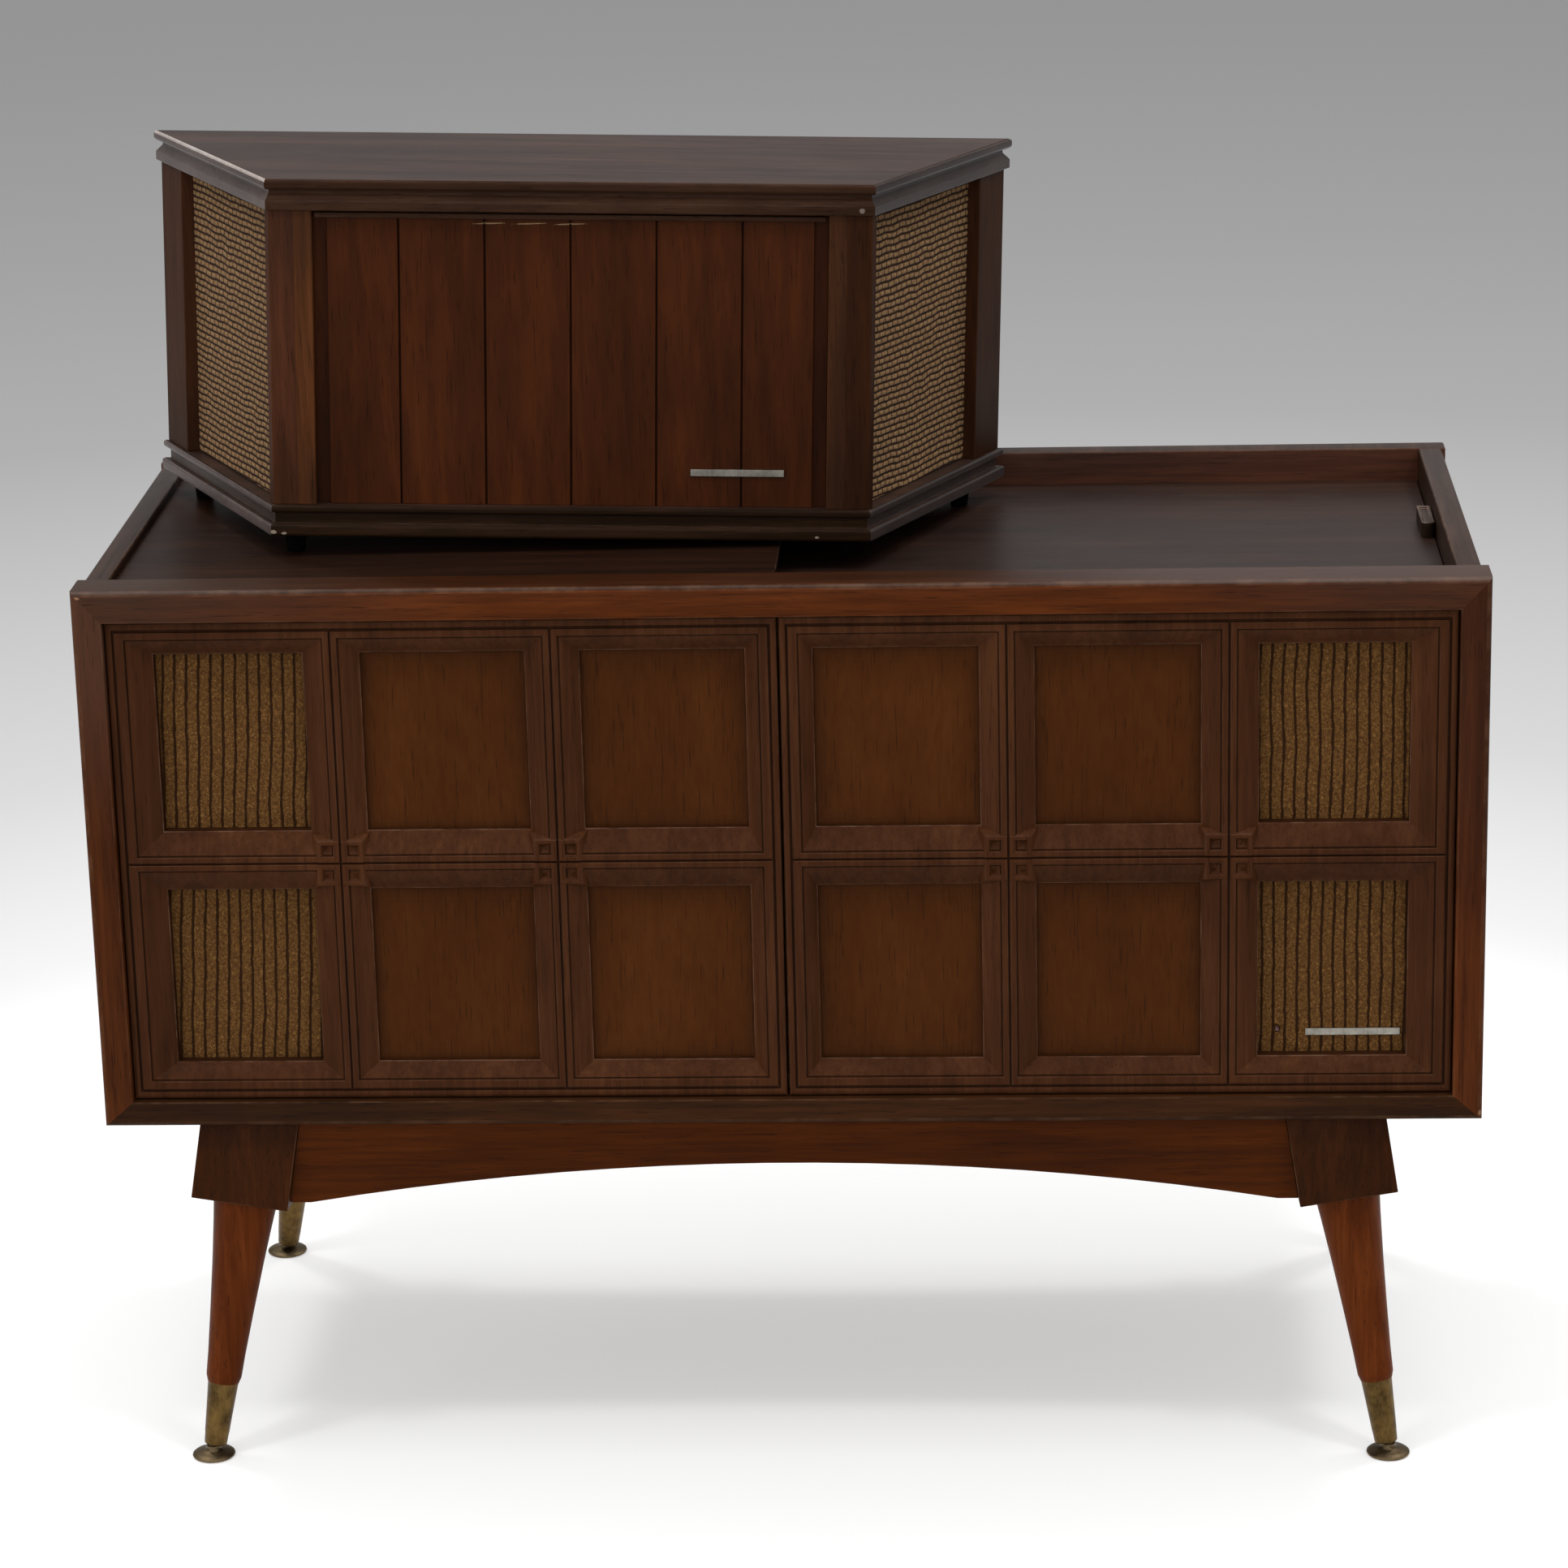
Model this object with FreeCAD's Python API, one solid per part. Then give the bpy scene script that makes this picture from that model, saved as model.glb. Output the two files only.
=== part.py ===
"""Record console with a trapezoid extension speaker standing on its top. Millimetres, +Z up.

Origin on the floor under the middle of the case; X runs to the listener's right, Y to the back.
"""
import FreeCAD, Part
import math
import os

# Case: the mitred front frame, the boards behind it and the gallery round the top
case_width = 1118
case_depth = 450
case_height = 452
floor_to_case = 297
side_thickness = 20
side_setback = 5.5
frame_depth = 39
stile_width = 24
top_rail_height = 26
bottom_rail_height = 21
frame_round = 4
rim_round = 2.5
back_rail_thickness = 22
back_rail_height = 59
back_rail_setback = 2
bottom_thickness = 18
back_panel_thickness = 4
back_panel_clearance = 0.5
batten_thickness = 12
overrun = 5
match = 0.01

# Sliding top
high_panel_drop = 7
high_panel_thickness = 7.5
low_panel_drop = 28
low_panel_thickness = 12
panel_meeting_offset = 4
panel_overlap = 12
panel_end_clearance = 1
panel_edge_clearance = 0.5
track_clearance = 0.3
track_width = 10
pull_width = 11
pull_length = 57
pull_height = 13.5
pull_offset = 32
pull_round = 5
pull_dish_depth = 2
pull_dish_border = 2

# Front: two grille frames of three columns and two rows
grille_setback = 5
grille_depth = 22
grille_clearance = 1
grille_bead = 4
grille_columns = 3
grille_rows = 2
ridge_width = 6.5
ridge_step = 1.5
bevel_depth = 11
window_width = 131
window_height = 148
cloth_outer_bevel = 32
cloth_inner_bevel = 24
line_width = 1.6
line_depth = 2
rosette_side = 17
rosette_recess = 11
rosette_depth = 6
panel_rebate = 6
panel_seat = 15
panel_thickness = 5
panel_fit = 0.2
cloth_thickness = 1.5
jewel_radius = 3.2
jewel_length = 4
jewel_offset = 16
jewel_height = 20
bar_length_share = 0.64
bar_height = 6
bar_thickness = 1.6
bar_side_offset = 4
bar_rise = 14

# Inner boards
wall_thickness = 12
chamber_width = 191.5
deck_drop = 109
deck_thickness = 12
motor_cut_left_margin = 37
motor_cut_right_margin = 99
motor_cut_front_margin = 45
motor_cut_back_margin = 75

# Drive units behind the grille cloth
woofer_radius = 82.5
woofer_cone_radius = 66
woofer_depth = 64
tweeter_radius = 38
tweeter_cone_radius = 29
tweeter_depth = 34
flange_thickness = 3
magnet_share = 0.46
magnet_depth_share = 0.66
cone_depth_share = 0.3
dome_share = 0.16

# Back panel, its screws and its terminals
vent_columns = 12
vent_rows = 4
vent_radius = 4
vent_pitch = 26
vent_centre_x = -170
vent_centre_height = 190
screw_radius = 2
screw_head_radius = 4
screw_head_height = 2.4
screw_length = 12
screw_inset = 6
screw_end_inset = 12
screws_per_side = 4
terminal_plate_width = 110
terminal_plate_height = 34
terminal_plate_thickness = 3
terminal_count = 6
terminal_radius = 3.5
terminal_length = 5
terminal_height = 60
inlet_width = 26
inlet_height = 18
inlet_depth = 14
inlet_slot_width = 18
inlet_slot_height = 9
inlet_slot_depth = 9
inlet_offset = 110

# Record changer
plate_left_gap = 8
plate_depth = 320
plate_height = 12
plate_sheet = 1.5
plate_corner = 18
plate_right_gap = 11.5
plate_back_offset = 10
spring_height = 20
spring_outer_radius = 8
spring_inner_radius = 5
spring_inset_x = 22
spring_inset_y = 75
spindle_radius = 3.6
spindle_rise = 66
platter_side_gap = 2
platter_arm_room = 64
platter_offset_y = 145
platter_gap = 0.3
platter_hub_radius = 18
platter_rise = 15
platter_skin = 3
platter_skirt = 9
platter_skirt_wall = 4
mat_edge = 2
mat_hole_radius = 5
mat_thickness = 3
running_clearance = 0.05
motor_width = 60
motor_depth = 56
motor_drop = 42
motor_corner_offset_x = 75
motor_corner_offset_y = 110
motor_corner = 8

# Tonearm and its turret
arm_right_inset = 30
arm_back_inset = 50
turret_radius = 17
turret_height = 18
turret_shaft_radius = 5
turret_shaft_length = 12
ear_thickness = 4
ear_gap = 16
ear_depth = 14
ear_height = 16
arm_pin_radius = 2
arm_height = 28
arm_tube_radius = 4.5
arm_length = 205
arm_tail = 50
arm_block_width = 14
arm_block_length = 18
arm_block_height = 12
head_width = 16
head_length = 42
head_height = 12
counterweight_radius = 12
counterweight_length = 26
counterweight_start = 22
rest_radius = 3
rest_offset = 180

# Record steadying arm, speed lever and start lever
steady_inset_x = 24
steady_inset_y = 25
steady_post_radius = 5
steady_shaft_radius = 4
steady_length = 192
steady_width = 12
steady_thickness = 6
steady_rise = 68
speed_inset_x = 24
speed_inset_y = 20
speed_disc_radius = 9
speed_disc_height = 5
speed_shaft_radius = 3
speed_arm_length = 18
speed_arm_width = 5
speed_arm_height = 8
lever_inset_x = 82
lever_inset_y = 15
lever_width = 10
lever_depth = 16
lever_height = 12
lever_stem_width = 4
lever_stem_depth = 8
lever_travel = 12
lever_slot_margin = 1

# Control panel
control_left = 8
control_width = 160
control_depth = 350
control_front_gap = 16
control_rise = 43
control_sheet = 3
control_side_sheet = 2
control_corner = 4
dial_width = 52
dial_length = 240
dial_left = 16
dial_recess = 1.2
dial_slot_width = 3
dial_slot_length = 214
dial_slot_inset = 8
glass_border = 4
glass_thickness = 2
pointer_length = 44
pointer_width = 1.6
pointer_thickness = 0.6
pointer_lift = 0.3
pointer_neck = 2
carrier_width = 10
carrier_height = 8
carrier_gap = 2
rail_radius = 1.5
knob_radius = 13
knob_height = 15
knob_skirt_radius = 16
knob_skirt_height = 4
knob_shaft_radius = 3
knob_shaft_length = 14
knob_lift = 0.3
knob_line = 108
knob_first = 34
knob_pitch = 50
tuning_knob_radius = 20
tuning_knob_offset = 286
button_side = 14
button_rise = 8
button_flange = 2
button_flange_height = 2.2
button_fit = 0.3
button_offset = 200

# Amplifier on the floor of the left-hand bay
chassis_wall_gap = 20
chassis_middle_gap = 38
chassis_depth = 250
chassis_height = 60
chassis_sheet = 2
chassis_front_gap = 66
valve_count = 5
valve_radius = 10.5
valve_height = 62
valve_base_height = 8
valve_base_radius = 12
valve_row_offset = 60
transformer_width = 80
transformer_depth = 70
transformer_height = 74
transformer_core_share = 0.5
transformer_bell_share = 0.86
transformer_inset = 24

# Base: corner blocks, aprons, turned legs, ferrules and glides
splay_angle = 8.8
foot_inset_x = 71
foot_inset_y = 7.7
block_side = 80
block_length = 120
block_drop = 76
leg_top_radius = 27
leg_foot_radius = 14.5
ferrule_top = 66
ferrule_bottom = 10
ferrule_top_radius = 12.7
ferrule_bottom_radius = 9.25
leg_tenon_radius = 9
leg_tenon_foot_radius = 8
glide_radius = 17.75
glide_height = 6
glide_rim = 1.5
glide_stem_radius = 4
glide_waist_share = 0.667
bolt_radius = 4
bolt_length = 70
apron_thickness = 20
apron_drop_end = 74
apron_drop_middle = 41
apron_front_offset = 16
apron_foot_inset = 92
side_rail_height = 46
side_rail_offset = 14

# Extension speaker: a trapezoid cabinet, wide at the back, in its own frame before it is stood up
box_back_share = 0.6467
box_front_width = 487
box_depth = 243
box_height = 292
box_offset_share = 0.309
box_front_offset = 136.2
box_turn = 2.42
base_slab_height = 10.5
base_cove_height = 9
base_bead_height = 6.5
top_slab_height = 8.5
top_groove_height = 3
top_flare_height = 6
top_lip_height = 7.5
cove_inset = 5
bead_inset = 1
body_inset = 4
slab_round = 3
bead_round = 2.5
front_post_width = 34.5
front_post_side = 9
post_depth = 22
rear_post_width = 46
rear_post_side = 50
board_recess = 6
board_thickness = 9
board_count = 6
board_line_width = 1.6
board_line_depth = 3
board_rebate_width = 11.5
board_rebate_depth = 4
front_rail_height = 4
front_rail_gap = 2
front_rail_end_gap = 2.5
side_baffle_thickness = 9
side_baffle_recess = 11
side_cloth_thickness = 1.5
driver_radius = 78
driver_cone_radius = 64
driver_depth = 62
driver_offset_share = 0.5
box_back_thickness = 4
box_back_recess = 6
box_screws_per_row = 5
box_screw_inset = 10
foot_radius = 9
foot_height = 17
foot_taper = 2
foot_clearance = 0.3
rear_foot_inset_x = 40
rear_foot_inset_y = 34
front_foot_inset_x = 18
front_foot_inset_y = 24
box_bar_length = 76
box_bar_height = 6
box_bar_right_gap = 34
box_bar_rise = 25.5
box_terminal_width = 60
box_terminal_height = 26
box_terminal_rise = 40

# Levels and faces that many pieces share
front = -case_depth / 2
back = case_depth / 2
case_top = floor_to_case + case_height
half_case = case_width / 2
frame_back = front + frame_depth
opening_x = half_case - stile_width
opening_low = floor_to_case + bottom_rail_height
opening_high = case_top - top_rail_height
side_outer = half_case - side_setback
side_inner = side_outer - side_thickness
rail_front = back - back_rail_thickness
rail_low = case_top - back_rail_height
back_panel_front = rail_front - back_panel_thickness
inner_back = back_panel_front - batten_thickness
floor_top = floor_to_case + bottom_thickness
grille_front = front + grille_setback
grille_back = grille_front + grille_depth
low_panel_top = case_top - low_panel_drop
low_panel_bottom = low_panel_top - low_panel_thickness
high_panel_top = case_top - high_panel_drop
track_top = low_panel_bottom - track_clearance
deck_top = low_panel_bottom - deck_drop
deck_bottom = deck_top - deck_thickness
bay_edge = side_inner - chamber_width - wall_thickness
foot_x = half_case - foot_inset_x
box_back_width = case_width * box_back_share
foot_y = back - foot_inset_y
plate_bottom = deck_top + spring_height
plate_top = plate_bottom + plate_height
plate_right = side_inner - plate_right_gap
plate_left = control_left + control_width + plate_left_gap
plate_front = -plate_depth / 2 + plate_back_offset
platter_radius = (plate_right - plate_left - platter_side_gap - platter_arm_room) / 2
platter_x = plate_left + platter_side_gap + platter_radius
platter_y = plate_front + platter_offset_y
platter_top = plate_top + platter_rise
arm_x = plate_right - arm_right_inset
arm_y = plate_front + plate_depth - arm_back_inset
arm_z = plate_top + arm_height
speed_x = plate_left + speed_inset_x
speed_y = plate_front + speed_inset_y
steady_x = plate_left + steady_inset_x
steady_y = plate_front + plate_depth - steady_inset_y
control_front = frame_back + control_front_gap
control_top = deck_top + control_rise
control_under = control_top - control_sheet
up = FreeCAD.Vector(0, 0, 1)
to_back = FreeCAD.Vector(0, 1, 0)
to_right = FreeCAD.Vector(1, 0, 0)


def box(x0, x1, y0, y1, z0, z1):
    """A block between two corners."""
    return Part.makeBox(x1 - x0, y1 - y0, z1 - z0, FreeCAD.Vector(x0, y0, z0))


def rod(radius, x, y, z, length, way=up):
    """A round bar that starts at a point and runs along a direction."""
    return Part.makeCylinder(radius, length, FreeCAD.Vector(x, y, z), way)


def face_of(points):
    """A flat face inside a closed run of straight edges."""
    return Part.Face(Part.makePolygon(points + points[:1]))


def front_plate(outline, y0, y1):
    """An outline drawn in X and Z, as thick as the step from y0 to y1."""
    points = [FreeCAD.Vector(x, y0, z) for x, z in outline]
    return face_of(points).extrude(FreeCAD.Vector(0, y1 - y0, 0))


def plan_plate(outline, z0, z1):
    """An outline drawn in X and Y, as thick as the step from z0 to z1."""
    points = [FreeCAD.Vector(x, y, z0) for x, y in outline]
    return face_of(points).extrude(FreeCAD.Vector(0, 0, z1 - z0))


def plan_loop(outline, z):
    """A closed outline drawn in X and Y at one height."""
    points = [FreeCAD.Vector(x, y, z) for x, y in outline]
    return Part.makePolygon(points + points[:1])


def turned(profile, x, y, z):
    """A solid turned about an upright axis at x, y from its radii and heights above z."""
    points = [FreeCAD.Vector(x + r, y, z + h) for r, h in profile]
    return face_of(points).revolve(FreeCAD.Vector(x, y, z), up, 360)


def rounded(shape, radius, wanted):
    """The shape with the straight edges that pass a test rounded off."""
    edges = [e for e in shape.Edges if wanted(e)]
    return shape.makeFillet(radius, edges)


def at_level(edge, axis, value):
    """Whether both ends of an edge have this coordinate."""
    return all(abs(v.Point[axis] - value) < match for v in edge.Vertexes)


def upright(edge):
    """Whether an edge runs straight up."""
    ends = [v.Point for v in edge.Vertexes]
    return len(ends) == 2 and math.hypot(ends[0].x - ends[1].x, ends[0].y - ends[1].y) < match


def mirrored(shape):
    """The same piece on the other side of the middle."""
    return shape.mirror(FreeCAD.Vector(0, 0, 0), to_right)


def frustum_pocket(outer, inner, y0, y1):
    """A pocket that narrows from one rectangle at y0 to another at y1; each is x0, x1, z0, z1."""
    wires = []
    for (x0, x1, z0, z1), y in ((outer, y0), (inner, y1)):
        corners = [(x0, z0), (x1, z0), (x1, z1), (x0, z1), (x0, z0)]
        wires.append(Part.makePolygon([FreeCAD.Vector(x, y, z) for x, z in corners]))
    return Part.makeLoft(wires, True, True)


def save(node, *solids):
    """Writes one sub-part, as one solid or as a group of them."""
    flat = [s for shape in solids for s in shape.Solids]
    bad = [s for s in flat if not s.isValid() or s.Volume <= 0]
    shape = flat[0] if len(flat) == 1 else Part.makeCompound(flat)
    shape.exportStep(os.path.join("parts", node + ".step"))
    print(node, len(flat), "solids", "FAULTY" if bad else "sound", round(shape.Volume))


def front_frame():
    """Two rails and two stiles with mitred corners and softened front edges."""
    x0 = half_case
    x1 = opening_x
    rail_high = [(-x0, case_top), (x0, case_top), (x1, opening_high), (-x1, opening_high)]
    rail_bottom = [(-x0, floor_to_case), (x0, floor_to_case), (x1, opening_low), (-x1, opening_low)]
    stile = [(x0, floor_to_case), (x0, case_top), (x1, opening_high), (x1, opening_low)]
    high = front_plate(rail_high, front, frame_back)
    low = front_plate(rail_bottom, front, frame_back)
    right = front_plate(stile, front, frame_back)
    high = rounded(high, frame_round, lambda e: at_level(e, 1, front) and at_level(e, 2, case_top))
    low = rounded(low, frame_round, lambda e: at_level(e, 1, front) and at_level(e, 2, floor_to_case))
    right = rounded(right, frame_round, lambda e: at_level(e, 1, front) and at_level(e, 0, x0))
    save("front_frame", high, low, right, mirrored(right))


def side_boards():
    """Each side rises past the top panels as the gallery and is notched for the back rail."""
    side = box(side_inner, side_outer, frame_back, back, floor_to_case, case_top)
    side = side.cut(box(side_inner - overrun, side_outer + overrun, rail_front, back + overrun,
                        rail_low, case_top + overrun))
    side = rounded(side, rim_round, lambda e: at_level(e, 2, case_top) and at_level(e, 0, side_outer))
    save("side_boards", side, mirrored(side))


def back_rail():
    """The board across the back that closes the gallery."""
    reach = half_case - back_rail_setback
    rail = box(-reach, reach, rail_front, back, rail_low, case_top)
    rail = rounded(rail, rim_round, lambda e: at_level(e, 2, case_top) and at_level(e, 1, back))
    save("back_rail", rail)


def back_screws():
    """The back panel's screws: a row up each side, each a shank with a flat head."""
    screws = []
    low = floor_top + screw_end_inset
    step = (rail_low - screw_end_inset - low) / (screws_per_side - 1)
    for side in (-1, 1):
        for n in range(screws_per_side):
            x = side * (side_inner - screw_inset)
            z = low + n * step
            shank = rod(screw_radius, x, rail_front, z, screw_length, -to_back)
            head = rod(screw_head_radius, x, rail_front, z, screw_head_height, to_back)
            screws.append(shank.fuse(head))
    return screws


def battens():
    """Strips that the grille frames and the back panel are screwed to."""
    top = box(-opening_x, opening_x, grille_back, frame_back, rail_low, opening_high)
    low_top = opening_low + batten_thickness
    low = box(-opening_x, opening_x, grille_back, frame_back, opening_low, low_top)
    right = box(opening_x - batten_thickness, opening_x, grille_back, frame_back, low_top, rail_low)
    rear = box(side_inner - batten_thickness, side_inner, inner_back, back_panel_front,
               floor_top, rail_low)
    screws = Part.makeCompound(back_screws())
    save("case_battens", top, low, right, mirrored(right), rear.cut(screws), mirrored(rear).cut(screws))


def inner_boards():
    """The floor, the walls of the bays, the deck over the right half and the left chamber's lid."""
    save("bottom_board", box(-side_inner, side_inner, frame_back, back_panel_front,
                             floor_to_case, floor_top))
    wall = box(bay_edge, bay_edge + wall_thickness, frame_back, back_panel_front,
               floor_top, deck_bottom)
    middle = box(-wall_thickness, 0, frame_back, back_panel_front, floor_top, rail_low)
    save("bay_walls", wall, mirrored(wall), middle)
    deck = box(0, side_inner, frame_back, inner_back, deck_bottom, deck_top)
    deck = deck.cut(box(plate_left + motor_cut_left_margin, plate_right - motor_cut_right_margin,
                        plate_front + motor_cut_front_margin,
                        plate_front + plate_depth - motor_cut_back_margin,
                        deck_bottom - overrun, deck_top + overrun))
    lid = box(-side_inner, -bay_edge, frame_back, inner_back, deck_bottom, deck_top)
    save("deck_boards", deck, lid)


def grille_cells():
    """The cells of the right-hand grille frame: column, row, ridge rectangle and window."""
    x0 = grille_clearance + grille_bead
    x1 = opening_x - grille_clearance - grille_bead
    z0 = opening_low + grille_clearance + grille_bead
    z1 = opening_high - grille_clearance - grille_bead
    width = (x1 - x0) / grille_columns
    height = (z1 - z0) / grille_rows
    cells = []
    for column in range(grille_columns):
        for row in range(grille_rows):
            left = x0 + column * width
            low = z0 + row * height
            ridge = (left + ridge_width, left + width - ridge_width,
                     low + ridge_width, low + height - ridge_width)
            side = (width - window_width) / 2
            rise = (height - window_height) / 2
            window = (left + side, left + width - side, low + rise, low + height - rise)
            if column == grille_columns - 1:
                window = (left + cloth_inner_bevel, left + width - cloth_outer_bevel,
                          low + rise, low + height - rise)
            cells.append((column, row, ridge, window))
    return cells


def grown(rectangle, by):
    """A rectangle x0, x1, z0, z1 made larger all round."""
    x0, x1, z0, z1 = rectangle
    return (x0 - by, x1 + by, z0 - by, z1 + by)


def slab(rectangle, y0, y1):
    """A rectangle x0, x1, z0, z1 given its thickness from y0 to y1."""
    x0, x1, z0, z1 = rectangle
    return box(x0, x1, y0, y1, z0, z1)


def rosette_corners(column, row, ridge):
    """Where a cell has its carved squares: the corners next to an inner crossing."""
    x0, x1, z0, z1 = ridge
    z = z0 if row == 1 else z1 - rosette_side
    corners = []
    if column > 0:
        corners.append((x0, z))
    if column < grille_columns - 1:
        corners.append((x1 - rosette_side, z))
    return corners


def grille_frame():
    """The right-hand frame: bead, ridges, bevels, carved squares, windows and rebates."""
    outer = (grille_clearance, opening_x - grille_clearance,
             opening_low + grille_clearance, opening_high - grille_clearance)
    frame = slab(outer, grille_front, grille_back)
    inner = grown(outer, -grille_bead)
    bottom = grille_front + line_depth
    ring = slab(inner, grille_front - overrun, bottom)
    frame = frame.cut(ring.cut(slab(grown(inner, -line_width), grille_front - overrun, bottom)))
    step = grille_front + ridge_step
    deep = grille_front + bevel_depth
    cells = grille_cells()
    cuts = []
    for column, row, ridge, window in cells:
        pocket = slab(ridge, grille_front - overrun, step)
        pocket = pocket.fuse(frustum_pocket(ridge, window, step, deep))
        pocket = pocket.fuse(slab(window, deep, grille_back + overrun))
        for x, z in rosette_corners(column, row, ridge):
            square = (x, x + rosette_side, z, z + rosette_side)
            pocket = pocket.cut(slab(square, grille_front - overrun, deep))
            margin = (rosette_side - rosette_recess) / 2
            mouth = grown(square, -margin)
            middle = grown(square, -rosette_side / 2 + line_width / 2)
            cuts.append(frustum_pocket(mouth, middle, grille_front, grille_front + rosette_depth))
        cuts.append(pocket)
        seat = grille_back - cloth_thickness if column == grille_columns - 1 else grille_front + panel_seat
        cuts.append(slab(grown(window, panel_rebate), seat, grille_back + overrun))
    for column, row, ridge, window in cells:
        if column and row:
            x = ridge[0] - ridge_width
            cuts.append(box(x - line_width / 2, x + line_width / 2, grille_front - overrun, bottom,
                            inner[2], inner[3]))
    z = (inner[2] + inner[3]) / 2
    cuts.append(box(inner[0], inner[1], grille_front - overrun, bottom,
                    z - line_width / 2, z + line_width / 2))
    for cut in cuts:
        frame = frame.cut(cut)
    return frame


def console_front():
    """Both grille frames with the veneer panels, the cloth, the jewel and the blank name bar."""
    frame = grille_frame()
    save("right_grille_frame", frame)
    save("left_grille_frame", mirrored(frame))
    veneers = []
    cloths = []
    for column, row, ridge, window in grille_cells():
        sheet = grown(window, panel_rebate - panel_fit)
        if column == grille_columns - 1:
            cloths.append(slab(sheet, grille_back - cloth_thickness, grille_back))
        else:
            seat = grille_front + panel_seat
            veneers.append(slab(sheet, seat, seat + panel_thickness))
    save("veneer_panels", *(veneers + [mirrored(v) for v in veneers]))
    save("grille_cloth", *(cloths + [mirrored(c) for c in cloths]))
    window = grille_cells()[-grille_rows][3]
    face = grille_back - cloth_thickness
    jewel = rod(jewel_radius, window[0] + jewel_offset, face - jewel_length, window[2] + jewel_height,
                jewel_length, to_back)
    save("pilot_jewel", jewel.makeFillet(jewel_radius / 3, [jewel.Edges[0]]))
    right = window[1] - bar_side_offset
    low = window[2] + bar_rise
    length = (window[1] - window[0]) * bar_length_share
    save("console_name_bar", box(right - length, right, face - bar_thickness, face, low, low + bar_height))


def drive_unit(radius, cone_radius, depth):
    """A round drive unit about the Z axis: flange at zero, cone hollow below, magnet behind."""
    magnet = radius * magnet_share
    cone = depth * cone_depth_share
    dome = cone_radius * dome_share
    profile = [(0, depth), (magnet, depth), (magnet, depth * magnet_depth_share),
               (cone_radius, 2 * flange_thickness), (radius, flange_thickness), (radius, 0),
               (cone_radius, 0), (dome, cone), (0, cone - dome)]
    return turned(profile, 0, 0, 0)


def faced(shape, x, y, z):
    """A drive unit turned so that it looks forward, with its flange at y."""
    placed = shape.copy()
    placed.rotate(FreeCAD.Vector(0, 0, 0), to_right, -90)
    placed.translate(FreeCAD.Vector(x, y, z))
    return placed


def console_speakers():
    """Baffle boards behind the cloth with a woofer below the deck and a tweeter above it on each."""
    cells = grille_cells()
    low_window = cells[-grille_rows][3]
    x = side_inner - chamber_width / 2
    woofer_z = (low_window[2] + low_window[3]) / 2
    tweeter_z = (deck_top + rail_low) / 2
    board = box(side_inner - chamber_width, opening_x - batten_thickness, grille_back, frame_back,
                opening_low + batten_thickness, rail_low)
    board = board.cut(rod(woofer_cone_radius, x, grille_back - overrun, woofer_z,
                          batten_thickness + 2 * overrun, to_back))
    board = board.cut(rod(tweeter_cone_radius, x, grille_back - overrun, tweeter_z,
                          batten_thickness + 2 * overrun, to_back))
    save("speaker_baffles", board, mirrored(board))
    woofer = faced(drive_unit(woofer_radius, woofer_cone_radius, woofer_depth), x, frame_back, woofer_z)
    tweeter = faced(drive_unit(tweeter_radius, tweeter_cone_radius, tweeter_depth),
                    x, frame_back, tweeter_z)
    save("woofers", woofer, mirrored(woofer))
    save("tweeters", tweeter, mirrored(tweeter))


def top_panels():
    """The fixed high panel, the low panel that glides under it, its pull and the tracks."""
    save("left_top_panel", box(-side_inner, -panel_meeting_offset, frame_back, rail_front,
                               high_panel_top - high_panel_thickness, high_panel_top))
    right = side_inner - panel_end_clearance
    left = -panel_meeting_offset - panel_overlap
    save("right_top_panel", box(left, right, frame_back + panel_edge_clearance,
                                rail_front - panel_edge_clearance, low_panel_bottom, low_panel_top))
    pull_front = pull_offset - pull_length / 2
    pull = box(right - pull_width, right, pull_front, pull_front + pull_length,
               low_panel_top, low_panel_top + pull_height)
    pull = rounded(pull, pull_round, lambda e: upright(e) and at_level(e, 1, pull_front))
    border = pull_dish_border
    dish = box(right - pull_width + border, right - border, pull_front + border,
               pull_front + pull_length - border,
               low_panel_top + pull_height - pull_dish_depth, low_panel_top + pull_height + overrun)
    dish = rounded(dish, pull_round - border, lambda e: upright(e) and at_level(e, 1, pull_front + border))
    save("panel_pull", pull.cut(dish))
    front_track = box(-side_inner, side_inner, frame_back, frame_back + track_width, rail_low, track_top)
    rear_track = box(-side_inner, side_inner, rail_front - track_width, rail_front, rail_low, track_top)
    save("panel_tracks", front_track, rear_track)


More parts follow.
